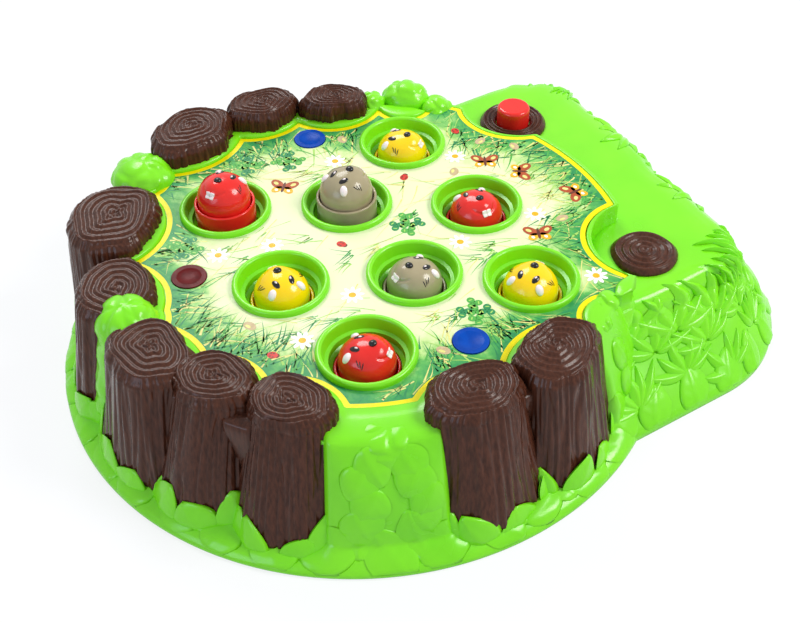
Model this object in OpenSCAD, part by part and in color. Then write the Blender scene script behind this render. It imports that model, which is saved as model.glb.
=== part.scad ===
// Whack-a-mole toy: a moulded ring of tree stumps round a printed deck with eight moles on a cam drive.
// Millimetres, +Z up. The origin lies on the table under the middle of the toy, and the player sits at -Y.

/* [Base] */
// Radius of the round base on the table
field_r = 126.5; // [124:0.5:130]
// Length from the back of the round base to the front of the lobe
overall_l = 293.5; // [291:0.5:298]
// Width of the lobe on the table
lobe_w = 222; // [218:1:228]
// Corner radius of the lobe on the table
lobe_corner = 58; // [32:1:64]
// Corner radius of the lobe's flat top
lobe_top_corner = 24; // [18:1:30]
// Height of the flat top of the lobe
lobe_z = 38.5; // [37.5:0.5:41]
// Width of the flat top of the lobe
lobe_top_w = 164; // [156:1:172]
// How far the front of the lobe leans in from the table to its top
lobe_lean = 14; // [11:0.5:16]
// Wall thickness of the moulded shell
wall = 2.2; // [1.8:0.1:2.6]
// How far the round wall leans in from the table to the deck
wall_lean = 21; // [19:0.5:22]
// How far the leafy skirt stands out of the foot of the round wall
skirt = 8.5; // [6:0.5:10]

/* [Stumps and leaves] */
// Height of the tops of the stumps on the player's near side
stump_z = 57; // [55:0.5:60]
// Depth of the bark grooves as a part of the stump's radius
bark = 0.06; // [0.02:0.01:0.1]
// Length of a moulded leaf
leaf_l = 19; // [14:1:22]
// Width of a moulded leaf
leaf_w = 13; // [9:1:15]
// How far a leaf's rib stands out of the wall
leaf_h = 2.2; // [1.4:0.2:2.8]

/* [Deck] */
// Height of the printed panel
panel_z = 48.5; // [48.5:0.5:51]
// Thickness of the printed panel
panel_t = 0.5; // [0.3:0.1:0.8]
// Thickness of the deck below the panel
deck_t = 1.6; // [1.4:0.1:2]
// Radius of the panel at the cusps between the stumps
cusp_r = 101; // [99:0.5:102]
// Radius of the deck's front edge over the lobe
deck_front_r = 111; // [109:0.5:112]
// Radius of the two bites in the panel round the button and the disc
bite_r = 25; // [24:0.5:26]
// Outside radius of a collar
collar_r = 19.4; // [18.8:0.1:20]
// Height of the collar rims above the panel
collar_h = 2.5; // [2:0.1:3.5]
// Radius of a collar's throat
throat_r = 14.5; // [14:0.1:15]
// Radius of a lens
lens_r = 7; // [6:0.1:7.5]

/* [Moles] */
// Half distance between the outer columns of holes
hole_x = 53; // [52:0.5:54]
// Half distance between the two holes of the right column
hole_right_y = 44.2; // [43:0.2:45]
// Half distance between the two holes of the left column
hole_left_y = 37.9; // [37:0.1:39]
// Half distance between the two holes of the middle column
hole_mid_y = 46.9; // [46:0.1:48]
// Distance of the inner right hole from the middle
inner_right_x = 28.5; // [28:0.5:29.5]
// Distance of the inner left hole from the middle
inner_left_x = 25; // [24:0.5:26]
// How far a mole rises
travel = 11.6; // [11:0.2:13.6]
// Outside radius of a mole's cup
cup_r = 12.8; // [12.4:0.1:13.1]
// Height of a cup
cup_h = 17; // [16:0.2:17.2]
// Wall thickness of a cup
cup_wall = 1.2; // [1:0.1:1.3]
// Radius of a mole's head
head_r = 11.1; // [10:0.1:11.2]
// Height of a head above its cup
head_h = 12; // [11:0.2:17]
// How far a head gives when it is hit
hit_travel = 3; // [2:0.2:3.2]

/* [Button] */
// Radius of the start button
button_r = 7.6; // [7:0.1:8]
// Height of the button above the lobe
button_h = 10.2; // [8:0.2:11]
// How far the button travels
button_travel = 3; // [2:0.2:3.4]
// Outside radius of the ring round the button
ring_r = 15.5; // [14:0.5:17]
// Radius of the moulded disc on the lobe
disc_r = 14; // [12:0.5:16]

/* [Drive] */
// Teeth on the rim of the cam disc
cam_teeth = 72; // [70:1:72]
// Module of the cam rim and its pinion
cam_module = 2; // [1.9:0.05:2]
// Thickness of the cam disc
cam_t = 2.5; // [2:0.1:2.8]
// Teeth on the large wheel of the compound gear
wheel_teeth = 36; // [30:1:36]
// Radius of the drive motor's can
motor_r = 7.75; // [6:0.25:8]

/* [Hidden] */
// Running clearance between pieces that move, and fit clearance between pieces that don't
run = 0.3;
fit = 0.3;
eps = 0.02;
green = "YellowGreen";
brown = "SaddleBrown";
field_y = overall_l / 2 - field_r;
play_y = field_y - 10;
front_y = -overall_l / 2;
deck_z = panel_z - panel_t;
ledge_z = panel_z + 1.5;
ledge_outer_r = field_r - wall_lean;
deck_r = ledge_outer_r - wall - fit;
rim_z = panel_z + collar_h;
cover_t = 2.2;
rebate = 1.2;
skirt_z = 2.5;
foot_wall_z = 9;
// The deck's front reaches out between these sides, and the rim is open in front of this distance
front_half_w = 80;
front_open = 82;
// How far in front of the field's middle the lobe's body begins
lobe_root = 36;

// Stumps round the rim: angle, how far inside the ledge, half width, half depth, and extra height
stumps = [
    [-24, 6, 16, 11, 2], [-5.5, 0.5, 18, 12.5, 2], [13.5, 0, 20.5, 15, 2], [50, 3.5, 23, 17.5, 0],
    [76, 8.5, 20, 15, 0], [99.5, 5.5, 20.5, 15.5, 0], [116.5, 11.5, 17, 14.5, 0], [135, 12.5, 16.5, 14, 0],
    [175, 9.5, 20, 14.5, 0], [196.5, 6.5, 17.5, 14, 0]
];
// Gaps between the stumps where leaves show: angle, how far inside the ledge, and half width
gaps = [[-42, 2.5, 10], [32, 2.5, 9], [88, 2.5, 6], [155, 4.5, 13], [215, 2.5, 10]];
// Smooth mounds in these gaps, down to the skirt: angle, how far inside the ledge, height of the middle,
// and radii out, aside and up
mounds = [
    [32, -0.5, 46, 12.5, 13, 9.5], [22, 2, 47, 9, 8, 6.5], [-42, 0.5, 46, 9, 11, 9],
    [-33, 2, 46.5, 7, 7, 6.5], [-50, 1.5, 45, 8, 8, 7], [87.5, 1, 44, 13, 12, 9], [155, 7, 43, 9, 15, 9],
    [222, 6, 45.5, 4, 4.5, 5.5], [217, 6.5, 45.5, 3.5, 4.5, 5]
];
stump_foot_z = 6;
stump_sides = 18;
leaf_sink = 0.7;
foot_leaf_deg = 4.5;
foot_leaf_out = 2.5;
foot_leaf_z = leaf_l / 2 + 2;
stump_room = 1.12;

mid_x = -2;
inner_y = -1;
holes = [
    [hole_x, hole_right_y], [mid_x, hole_mid_y], [-hole_x, hole_left_y],
    [inner_right_x, inner_y], [-inner_left_x, inner_y],
    [hole_x, -hole_right_y], [mid_x, -hole_mid_y], [-hole_x, -hole_left_y]
];
mole_colors = ["Red", "Gold", "Red", "Tan", "Tan", "Gold", "Red", "Gold"];
// The moles that stand up at rest, and the way that each mole faces
moles_up = [1, 4];
face_deg = [119, -5, -135, -80, 88, -140, 175, -60];
lenses = [[22, 75.5], [79, -11], [-68.6, 1.7]];

// Heights of the moles and of the drive, from the panel down
cup_proud = 2.6;
cup_up_z = rim_z + cup_proud;
cup_floor = 1.5;
stem_r = 4;
stem_l = 1.8;
pin_r = 2;
foot_z = cup_up_z - travel - cup_h - stem_l;
lobe_top_z = foot_z - 2 * run;
cam_top_z = lobe_top_z - travel;
cam_z = cam_top_z - cam_t;
guide_r = cup_r + run;
guide_top_z = rim_z - 9.5;
sleeve_z = rim_z - 21;
head_drop = 9;
head_side = 0.2;
under_head_h = cup_h - cup_floor - head_drop;

button_at = [50.4, -104.4];
disc_at = [-57, -94];
bite_at = [button_at, [-58, -93]];
button_flange_z = lobe_z - wall - run;
board_z = 20;
key_h = 4.4;

// Wells for the lamps below the lenses, and the thickness of the circuit boards
lamp_r = lens_r + 1.6;
lamp_h = 12;
lamp_z = deck_z - lamp_h;
lens_flange = 1.5;
board_t = 1.6;

cam_pitch_r = cam_teeth * cam_module / 2;
pinion_teeth = 10;
pinion_r = pinion_teeth * cam_module / 2;
wheel_module = 1;
wheel_r = wheel_teeth * wheel_module / 2;
motor_teeth = 9;
mesh_gap = 0.3;
wheel_y = cam_pitch_r + pinion_r + mesh_gap;
motor_y = wheel_y + wheel_r + motor_teeth * wheel_module / 2 + mesh_gap;
wheel_z = lobe_top_z + 1.6;
wheel_t = 3;
motor_top_z = wheel_z - 2;
cam_post_r = 3;
wheel_post_r = 2;
shaft_r = 1;
shaft_fit = 0.1;

post_angles = [35, 145, 195, 270, 338];
post_at_r = 95;
post_r = 4.5;
split_z = 24;
screw_r = 1.4;
screw_head_r = 2.8;
screw_seat_z = 12;

cell_r = 7.1;
cell_l = 50.5;
cell_pitch = 15;
box_at = [-9, -121];
contact_room = 4;
contact_w = 10;
screw_bay = 11.5;
bay_l = cell_l + 2 * contact_room;
box_l = bay_l + screw_bay;
box_w = 3 * cell_pitch + 1;
box_h = 19;
box_web = 1.6;
cells_x = box_at.x - box_l / 2 + contact_room;
door_lip = 1.2;
door_seat_z = 1.2;
door_screw = [box_l / 2 - 5.2, 0];
speaker_r = 17;
speaker_at = [box_at.x - box_l / 2 - door_lip - box_web - speaker_r - fit, -112];
main_board_l = 62;
main_board_w = 42;
switch_at = [52, -134];
knob_l = 6.4;
knob_w = 4.4;
switch_throw = 5;

// Outside radius of the round wall at a height
function wall_r(z) = field_r - (
    z < skirt_z ? 0 : z < foot_wall_z ? skirt * (z - skirt_z) / (foot_wall_z - skirt_z) :
    skirt + (wall_lean - skirt) * (z - foot_wall_z) / (deck_z - foot_wall_z));
function is_up(i) = len([for (u = moles_up) if (u == i) u]) > 0;
function cup_z(i) = cup_up_z - (is_up(i) ? 0 : travel);
function polar(r, a) = [r * cos(a), r * sin(a)];
function rim_at(inside) = ledge_outer_r - inside;

module at_play(p = [0, 0], z = 0) translate([p.x, play_y + p.y, z]) children();
module at_field(z = 0) translate([0, field_y, z]) children();
module at_post(a, z) at_field(z) rotate(a) translate([post_at_r, 0]) children();
module at_mole(i) at_play(holes[i - 1], cup_z(i)) children();
module tube(outer_r, inner_r, h) {
    difference() {
        cylinder(r = outer_r, h = h, $fn = 64);
        translate([0, 0, -eps]) cylinder(r = inner_r, h = h + 2 * eps, $fn = 64);
    }
}

// A closed skin through rings of points that run anticlockwise, from the lowest ring to the highest
module loft(rings) {
    n = len(rings[0]);
    last = (len(rings) - 1) * n;
    sides = [
        for (i = [0:len(rings) - 2]) for (j = [0:n - 1]) let (k = (j + 1) % n)
        each [[i * n + j, (i + 1) * n + j, (i + 1) * n + k], [i * n + j, (i + 1) * n + k, i * n + k]]
    ];
    polyhedron(
        points = [for (ring = rings) each ring],
        faces = concat([[for (j = [0:n - 1]) j]], sides, [[for (j = [0:n - 1]) last + n - 1 - j]])
    );
}

// Outline of the toy on the table, drawn in by a distance
module lobe_2d(w, y, corner) {
    back = field_y - lobe_root;
    translate([-w / 2, y + corner]) square([w, back - y - corner]);
    translate([-w / 2 + corner, y]) square([w - 2 * corner, back - y]);
    for (side = [-1, 1]) translate([side * (w / 2 - corner), y + corner]) circle(corner, $fn = 32);
}
module plan_2d(inset) {
    translate([0, field_y]) circle(field_r - inset, $fn = 96);
    lobe_2d(lobe_w - 2 * inset, front_y + inset, lobe_corner - inset);
}

// The part of the field that reaches out over the lobe
module front_2d(r, grow) {
    translate([0, field_y]) intersection() {
        circle(r + grow, $fn = 96);
        translate([-front_half_w - grow, -field_r]) square([2 * (front_half_w + grow), field_r - 60]);
    }
}
// Outline of the printed panel: round, wider at the front and bitten by stumps, mounds, button and disc
module panel_2d() {
    difference() {
        union() {
            translate([0, field_y]) circle(cusp_r, $fn = 96);
            front_2d(deck_front_r, 0);
        }
        for (s = stumps) {
            bend_r = s[2] * s[2] / s[3];
            translate([0, field_y]) rotate(s[0])
                translate([rim_at(s[1]) - stump_room * s[3] + bend_r, 0]) circle(bend_r, $fn = 48);
        }
        for (g = gaps) translate([0, field_y] + polar(rim_at(g[1]) + 4, g[0])) circle(g[2] + 2, $fn = 48);
        for (b = bite_at) translate([b.x, play_y + b.y]) circle(bite_r, $fn = 48);
    }
}

// The round wall as a turned form, and the space inside it
module field_form() {
    at_field() rotate_extrude($fn = 80) polygon([
        [0, 0], [field_r, 0], [field_r, skirt_z], [wall_r(foot_wall_z), foot_wall_z],
        [ledge_outer_r, deck_z], [ledge_outer_r - 1, ledge_z], [0, ledge_z]
    ]);
    translate([0, 0, lobe_z - 2 * wall]) linear_extrude(panel_z - lobe_z + 2 * wall)
        front_2d(deck_front_r, fit + wall);
}
module field_space() {
    at_field() rotate_extrude($fn = 80) polygon([
        [0, cover_t], [field_r - rebate - wall, cover_t], [wall_r(foot_wall_z) - wall, foot_wall_z],
        [ledge_outer_r - wall, deck_z - deck_t], [ledge_outer_r - wall, deck_z], [0, deck_z]
    ]);
    translate([0, 0, lobe_z - 3 * wall]) linear_extrude(deck_z - lobe_z + 3 * wall)
        front_2d(deck_front_r, fit);
}
module lobe_form(inset, low, high) {
    round_h = 4;
    top_y = front_y + lobe_lean;
    hull() {
        translate([0, 0, low]) linear_extrude(skirt_z)
            lobe_2d(lobe_w - 2 * inset, front_y + inset, lobe_corner - inset);
        translate([0, 0, high - round_h]) linear_extrude(eps)
            lobe_2d(lobe_top_w + round_h - 2 * inset, top_y - round_h / 2 + inset, lobe_top_corner);
        translate([0, 0, high - eps]) linear_extrude(eps)
            lobe_2d(lobe_top_w - 2 * inset, top_y + inset, lobe_top_corner);
    }
}

// One stump, grooved like bark at the sides, with growth rings on its top. X points away from the field,
// and the foot leans out to the skirt and spreads
function stump_ring(s, z, deep, wide, out, rough) = [
    for (j = [0:stump_sides - 1])
    let (a = 360 * j / stump_sides, k = 1 - rough * (j % 2) + 0.03 * sin(3 * a + 5 * s[0]))
    [rim_at(s[1]) + out + s[3] * deep * k * cos(a), s[2] * wide * k * sin(a), z]
];
module stump(s) {
    lean = max(0.5, wall_r(stump_foot_z) - rim_at(s[1]) - 1.1 * s[3]);
    top_z = stump_z + s[4];
    shoulder = 3;
    side_h = top_z - shoulder - stump_foot_z;
    sides = [[0, 1.12, 1.3], [0.3, 1.08, 1.17], [0.62, 1.03, 1.07], [1, 1, 1]];
    rings = [
        [-0.9, 0.94, 0], [0.3, 0.78, 0], [-0.4, 0.64, 0], [0.9, 0.46, -1], [0.3, 0.36, -1], [1.4, 0.14, -1]
    ];
    rotate(s[0]) loft(concat(
        [for (t = sides) stump_ring(s, stump_foot_z + side_h * t[0], t[1], t[2], lean * (1 - t[0]), bark)],
        [for (t = rings) stump_ring(s, top_z + t[0], t[1], t[1], t[2], bark / 4)]
    ));
}
module mound(m) {
    rotate(m[0]) hull() {
        translate([rim_at(m[1]), 0, m[2]]) scale([m[3], m[4], m[5]]) sphere(1, $fn = 18);
        translate([wall_r(foot_wall_z) - m[3], 0, foot_wall_z])
            scale([m[3], m[4], 1]) cylinder(r = 1, h = eps, $fn = 18);
    }
}

// A leaf on a plane: an oval with a raised rib, its tip along Y, and a root below the plane
module leaf(root) {
    outline = [[0, 0.5], [0.42, 0.18], [0.42, -0.22], [0, -0.5], [-0.42, -0.22], [-0.42, 0.18]];
    hull() {
        translate([0, 0, -root]) linear_extrude(root + 0.2)
            polygon([for (p = outline) [p.x * leaf_w, p.y * leaf_l]]);
        linear_extrude(leaf_h) polygon([[0, leaf_l * 0.32], [0.2, -leaf_l * 0.3], [-0.2, -leaf_l * 0.3]]);
    }
}
// Leaves stand on the round wall at an angle and a height, and lie on the slopes of the lobe
module wall_leaf(a, z, roll, out = 0) {
    lean = atan((wall_lean - skirt) / (deck_z - foot_wall_z));
    rotate(a) translate([wall_r(z) + out - leaf_sink, 0, z])
        rotate([0, -lean, 0]) rotate([90, 0, 90]) rotate(roll) leaf(out);
}
module slope_leaf(foot_y, top_y, heading, t, roll) {
    drop = lobe_z - skirt_z;
    foot = [lobe_w / 2 - lobe_corner, foot_y] + polar(lobe_corner, heading);
    top = [lobe_top_w / 2 - lobe_top_corner, top_y] + polar(lobe_top_corner, heading);
    reach = (foot - top) * polar(1, heading);
    place = top + t * (foot - top);
    translate([place.x, place.y, lobe_z - drop * t]) rotate(heading) rotate([0, atan(drop / reach), 0])
        translate([0, 0, -leaf_sink]) rotate(roll - 90) leaf(wall / 2);
}
module leaves() {
    rolls = rands(-35, 35, 40, 7);
    at_field() {
        for (k = [0:25]) wall_leaf(-36 + 9.9 * k, 11 + 3 * (k % 2), rolls[k]);
        for (g = gaps) for (row = [0:1])
            wall_leaf(g[0] + (row == 0 ? -3 : 3), 27 + 12 * row, rolls[row] / 2);
        for (s = stumps) for (side = [-1, 0, 1])
            wall_leaf(s[0] + side * foot_leaf_deg, foot_leaf_z, side * -12, foot_leaf_out);
    }
    for (side = [0, 1]) mirror([side, 0, 0]) {
        for (k = [0:3]) let (y = front_y + lobe_corner + 9 * k)
            slope_leaf(y, y, 0, k % 2 == 0 ? 0.3 : 0.68, rolls[k]);
        for (k = [1:4])
            slope_leaf(front_y + lobe_corner, front_y + lobe_lean + lobe_top_corner, -20 * k,
                k % 2 == 0 ? 0.3 : 0.68, rolls[k + 4]);
    }
}

// The ring round the button and the disc, turned like cut wood
module button_ring() {
    inner_r = button_r + 2;
    band = ring_r - inner_r;
    rotate_extrude($fn = 32) {
        translate([inner_r, -wall / 2]) square([band, wall / 2 + 2.2]);
        for (t = [0.2, 0.5, 0.8]) translate([inner_r + t * band, 2.2]) circle(1, $fn = 6);
    }
}
module wood_disc() {
    rotate_extrude($fn = 32) {
        translate([0, -wall / 2]) square([disc_r, wall / 2 + 2]);
        for (t = [0.3, 0.6, 0.88]) translate([t * disc_r, 2]) circle(1, $fn = 6);
    }
}

module top_shell() {
    difference() {
        union() {
            color(green) difference() {
                union() {
                    field_form();
                    lobe_form(0, 0, lobe_z);
                    leaves();
                    at_field() for (m = mounds) mound(m);
                    color(brown) at_field() for (s = stumps) stump(s);
                }
                difference() {
                    field_space();
                    for (b = bite_at)
                        at_play(b, lobe_z - 2 * wall) cylinder(r = bite_r, h = panel_z, $fn = 48);
                }
                lobe_form(wall, cover_t, lobe_z - wall);
                for (b = bite_at) at_play(b, lobe_z) cylinder(r = bite_r - wall, h = panel_z, $fn = 48);
                translate([0, 0, deck_z]) linear_extrude(panel_z) offset(delta = fit) panel_2d();
                translate([-field_r, field_y - field_r - eps, panel_z])
                    cube([2 * field_r, field_r - front_open, panel_z]);
                translate([0, 0, -eps]) linear_extrude(cover_t + 2 * eps) plan_2d(rebate);
            }
            color(brown) at_play(button_at, lobe_z) button_ring();
            color(brown) at_play(disc_at, lobe_z) wood_disc();
        }
        at_play(button_at) cylinder(r = button_r + run + 0.1, h = panel_z, $fn = 48);
    }
}

// A collar's section: rounded rim, ledge, throat and guide sleeve, measured from the rim down
module collar_2d() {
    bead = 1.3;
    below = -collar_h - panel_t - deck_t;
    guide_top = guide_top_z - rim_z;
    foot = sleeve_z - rim_z;
    translate([collar_r - bead, -bead]) circle(bead, $fn = 24);
    polygon([
        [guide_r, foot], [guide_r, guide_top], [throat_r, guide_top + 1], [throat_r, -5.5],
        [throat_r + 1.4, -5], [throat_r + 2.2, -1.6], [collar_r - 2 * bead, -bead], [collar_r, -bead],
        [collar_r, below], [throat_r + 2.6, below], [throat_r + 2.6, guide_top - 1],
        [guide_r + 1.6, guide_top - 2.5], [guide_r + 1.6, foot]
    ]);
}
module deck_plate() {
    boss_h = deck_z - split_z;
    color(green) difference() {
        union() {
            difference() {
                union() {
                    at_field(deck_z - deck_t) cylinder(r = deck_r, h = deck_t, $fn = 96);
                    translate([0, 0, deck_z - deck_t]) linear_extrude(deck_t) front_2d(deck_front_r, 0);
                }
                for (b = bite_at) at_play(b) cylinder(r = bite_r + fit, h = panel_z, $fn = 48);
                for (h = holes) at_play(h) cylinder(r = collar_r - 1, h = panel_z, $fn = 48);
            }
            for (h = holes) at_play(h, rim_z) rotate_extrude($fn = 64) collar_2d();
            for (a = post_angles) at_post(a, split_z) cylinder(r = post_r, h = boss_h - eps, $fn = 32);
            for (p = lenses) at_play(p, lamp_z) cylinder(r = lamp_r + 1.2, h = lamp_h - eps, $fn = 48);
        }
        for (a = post_angles) at_post(a, split_z - eps)
            cylinder(r = screw_r + shaft_fit, h = boss_h - deck_t - 2, $fn = 32);
        for (p = lenses) {
            at_play(p, lamp_z - eps) cylinder(r = lamp_r, h = lamp_h - deck_t + eps, $fn = 48);
            at_play(p) cylinder(r = lens_r + fit, h = panel_z, $fn = 48);
        }
    }
}
module play_panel() {
    color("LemonChiffon") translate([0, 0, deck_z]) linear_extrude(panel_t) difference() {
        panel_2d();
        for (h = holes) translate([h.x, play_y + h.y]) circle(collar_r + fit, $fn = 64);
        for (p = lenses) translate([p.x, play_y + p.y]) circle(lens_r + fit, $fn = 48);
    }
}

// A lens has a flange below the deck and a shallow dish on top
module lens(k, shade) {
    base_z = deck_z - deck_t - lens_flange;
    proud = 0.5;
    dish = 0.7;
    dish_r = 2.6 * lens_r;
    color(shade) at_play(lenses[k]) difference() {
        union() {
            translate([0, 0, base_z]) cylinder(r = lamp_r - fit, h = lens_flange, $fn = 48);
            translate([0, 0, base_z]) cylinder(r = lens_r, h = panel_z + proud - base_z, $fn = 48);
        }
        translate([0, 0, panel_z + proud + dish_r - dish]) sphere(dish_r, $fn = 64);
    }
}
module lens_red() lens(0, "DarkRed");
module lens_blue_right() lens(1, "RoyalBlue");
module lens_blue_left() lens(2, "RoyalBlue");
module indicator_leds() {
    led_r = 2.5;
    top_z = deck_z - deck_t - lens_flange - fit;
    color("White") for (p = lenses) at_play(p) {
        translate([0, 0, lamp_z]) cylinder(r = lamp_r - fit, h = board_t, $fn = 32);
        translate([0, 0, lamp_z + 1]) cylinder(r = led_r, h = top_z - lamp_z - 1 - led_r, $fn = 32);
        translate([0, 0, top_z - led_r]) sphere(led_r, $fn = 32);
    }
}

// The cover closes the underside and carries posts, battery box, pivots, speaker grille and switch slot
module battery_box() {
    boss_half_w = 5;
    out_l = box_l + 2 * door_lip + 2 * box_web;
    out_w = box_w + 2 * door_lip + 2 * box_web;
    at_play(box_at) difference() {
        translate([-out_l / 2, -out_w / 2, cover_t - eps]) cube([out_l, out_w, box_h - cover_t]);
        translate([-box_l / 2, -box_w / 2, 0]) cube([bay_l, box_w, box_h - box_web]);
        for (y = [-box_w / 2, boss_half_w]) translate([-box_l / 2 + bay_l + box_web, y, 0])
            cube([screw_bay - box_web, box_w / 2 - boss_half_w, box_h - box_web]);
        translate(door_screw) cylinder(r = screw_r + shaft_fit, h = screw_seat_z, $fn = 32);
    }
}
module bottom_cover() {
    door_l = box_l + 2 * door_lip + 2 * fit;
    door_w = box_w + 2 * door_lip + 2 * fit;
    color("LimeGreen") difference() {
        union() {
            linear_extrude(cover_t) plan_2d(rebate + fit);
            for (a = post_angles) at_post(a, 0) cylinder(r = post_r, h = split_z, $fn = 32);
            at_play() cylinder(r = 2 * cam_post_r, h = cam_z - 0.2, $fn = 48);
            at_play() cylinder(r = cam_post_r, h = cam_top_z + 6, $fn = 48);
            at_play([0, wheel_y]) cylinder(r = 2 * wheel_post_r, h = cam_z - 0.8, $fn = 48);
            at_play([0, wheel_y]) cylinder(r = wheel_post_r, h = wheel_z + wheel_t + 1, $fn = 48);
            for (side = [-1, 1]) {
                at_play([side * (motor_r + 6), motor_y]) cylinder(r = 3.5, h = motor_top_z, $fn = 32);
                at_play(button_at + [side * 11, 0]) cylinder(r = 3, h = board_z, $fn = 32);
                at_play(switch_at + [side * 10, 0]) cylinder(r = 2, h = 5, $fn = 32);
            }
            at_play([0, motor_y]) tube(motor_r + 1.6, motor_r + shaft_fit, 8);
            at_play(speaker_at) tube(speaker_r + 1.8, speaker_r + fit, 6);
            battery_box();
            for (x = [-1, 1]) for (y = [-1, 1])
                at_play(box_at + [x * 26 - 6, y * 17], box_h - eps) cylinder(r = 2.5, h = 4, $fn = 32);
        }
        for (a = post_angles) at_post(a, -eps) {
            cylinder(r = screw_head_r + 0.4, h = screw_seat_z + eps, $fn = 32);
            cylinder(r = screw_r + fit, h = panel_z, $fn = 32);
        }
        at_play(box_at) translate([-door_l / 2, -door_w / 2, -eps]) cube([door_l, door_w, cover_t + eps]);
        at_play(speaker_at, -eps) for (ring = [0:2]) for (k = [0:max(0, 6 * ring - 1)])
            translate(polar(5 * ring, 60 * k / max(1, ring))) cylinder(r = 1.2, h = 2 * cover_t, $fn = 24);
        at_play(switch_at) translate([-(knob_l + switch_throw) / 2 - run, -knob_w / 2 - run, -eps])
            cube([knob_l + switch_throw + 2 * run, knob_w + 2 * run, 2 * cover_t]);
    }
}
// A screw with a low round head below and its shank upward
module screw(head_h, length) {
    translate([0, 0, -head_h]) cylinder(r = screw_head_r, h = head_h, $fn = 32);
    translate([0, 0, -eps]) cylinder(r = screw_r, h = length, $fn = 32);
}
module case_screws() {
    color("Silver") for (a = post_angles)
        at_post(a, screw_seat_z) screw(2, split_z - screw_seat_z + 9);
}
module battery_door() {
    l = box_l + 2 * door_lip;
    w = box_w + 2 * door_lip;
    color("LimeGreen") at_play(box_at) difference() {
        translate([-l / 2, -w / 2, 0]) cube([l, w, cover_t]);
        translate(door_screw) translate([0, 0, -eps]) {
            cylinder(r = screw_r + fit, h = 2 * cover_t, $fn = 32);
            cylinder(r = screw_head_r + 0.4, h = door_seat_z + eps, $fn = 32);
        }
        for (k = [-2:2]) translate([-l / 2 + 8 + 2.4 * k, -10, -eps]) cube([1, 20, 0.8]);
    }
}
module battery_door_screw() {
    color("Silver") at_play(box_at + door_screw, door_seat_z) screw(1, 9);
}
module aa_cells() {
    color("DimGray") for (k = [-1:1])
        at_play([cells_x, box_at.y + k * cell_pitch], cover_t + 0.6 + cell_r) rotate([0, 90, 0]) {
            cylinder(r = cell_r, h = cell_l - 1.2, $fn = 48);
            cylinder(r = 2.6, h = cell_l, $fn = 32);
        }
}
module battery_contacts() {
    plate = 0.5;
    tall = 2 * cell_r - 2;
    color("Silver") for (k = [-1:1]) {
        at_play([box_at.x - box_l / 2, box_at.y + k * cell_pitch], cover_t + 1.6) {
            translate([0, -contact_w / 2, 0]) cube([plate, contact_w, tall]);
            translate([0, 0, tall / 2]) rotate([0, 90, 0]) cylinder(r = 3, h = contact_room - fit, $fn = 32);
        }
        at_play([cells_x + cell_l + fit, box_at.y + k * cell_pitch], cover_t + 1.6)
            translate([0, -contact_w / 2, 0]) cube([contact_room - fit, contact_w, tall]);
    }
}
module main_board() {
    z = box_h + 4 - eps;
    color("DarkGreen") at_play(box_at + [-6, 0], z) {
        translate([-main_board_l / 2, -main_board_w / 2, 0]) cube([main_board_l, main_board_w, board_t]);
        translate([-8, -6, board_t - eps]) cube([16, 12, 2]);
        for (k = [-1:1]) translate([20, k * 12, board_t - eps]) cylinder(r = 2.5, h = 6, $fn = 32);
        translate([-26, -14, board_t - eps]) cube([5, 28, 5]);
    }
}
module speaker() {
    color("DimGray") at_play(speaker_at, cover_t) {
        tube(speaker_r, speaker_r - 3, 2);
        translate([0, 0, 2 - eps]) cylinder(r1 = speaker_r, r2 = 9, h = 5, $fn = 48);
        translate([0, 0, 7 - 2 * eps]) cylinder(r = 9, h = 6, $fn = 48);
    }
}

// Drive: the motor turns a compound gear, and its pinion turns the toothed rim of the cam disc
function gear_points(teeth, m) = [
    for (k = [0:teeth - 1]) for (p = [[-0.35, -1.1], [-0.11, 0.8], [0.11, 0.8], [0.35, -1.1]])
    polar(teeth * m / 2 + p[1] * m, 360 * (k + p[0]) / teeth)
];
module gear_2d(teeth, m, phase) rotate(phase) polygon(gear_points(teeth, m));

// A ramped lobe on the cam disc: up, along and down again over an arc
module cam_lobe(track_r, width, arc) {
    steps = 12;
    low = 0.2;
    loft([
        for (k = [0:steps])
        let (t = k / steps, a = arc * (t - 0.5), h = travel * min(1, 4 * min(t, 1 - t)) + low)
        [for (c = [[-1, 0], [-1, 1], [1, 1], [1, 0]])
            concat(polar(track_r + c[0] * width / 2, a), [c[1] == 0 ? -low : h - low])]
    ]);
}
module cam_disc() {
    outer_track = (norm(holes[0]) + norm(holes[2])) / 2;
    color("WhiteSmoke") at_play([0, 0], cam_z) difference() {
        union() {
            linear_extrude(cam_t) gear_2d(cam_teeth, cam_module, 90 + 180 / cam_teeth);
            cylinder(r = 9, h = cam_t + 5, $fn = 48);
            translate([0, 0, cam_t]) {
                for (a = [atan2(holes[0].y, holes[0].x), 90]) rotate(a) cam_lobe(outer_track, 8, 22);
                for (a = [0, 180]) rotate(a) cam_lobe(hole_mid_y, 8, 34);
                rotate(atan2(inner_y, inner_right_x)) cam_lobe(inner_right_x - 1, 8, 56);
            }
        }
        translate([0, 0, -eps]) cylinder(r = cam_post_r + shaft_fit, h = 20, $fn = 48);
    }
}
module compound_gear() {
    color("White") at_play([0, wheel_y], cam_z - 0.6) difference() {
        union() {
            linear_extrude(cam_t + 0.4) gear_2d(pinion_teeth, cam_module, -90);
            cylinder(r = 5, h = wheel_z - cam_z + 0.6, $fn = 48);
            translate([0, 0, wheel_z - cam_z + 0.6 - eps]) linear_extrude(wheel_t)
                gear_2d(wheel_teeth, wheel_module, 90 + 180 / wheel_teeth);
        }
        translate([0, 0, -eps]) cylinder(r = wheel_post_r + shaft_fit, h = panel_z, $fn = 48);
    }
}
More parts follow.
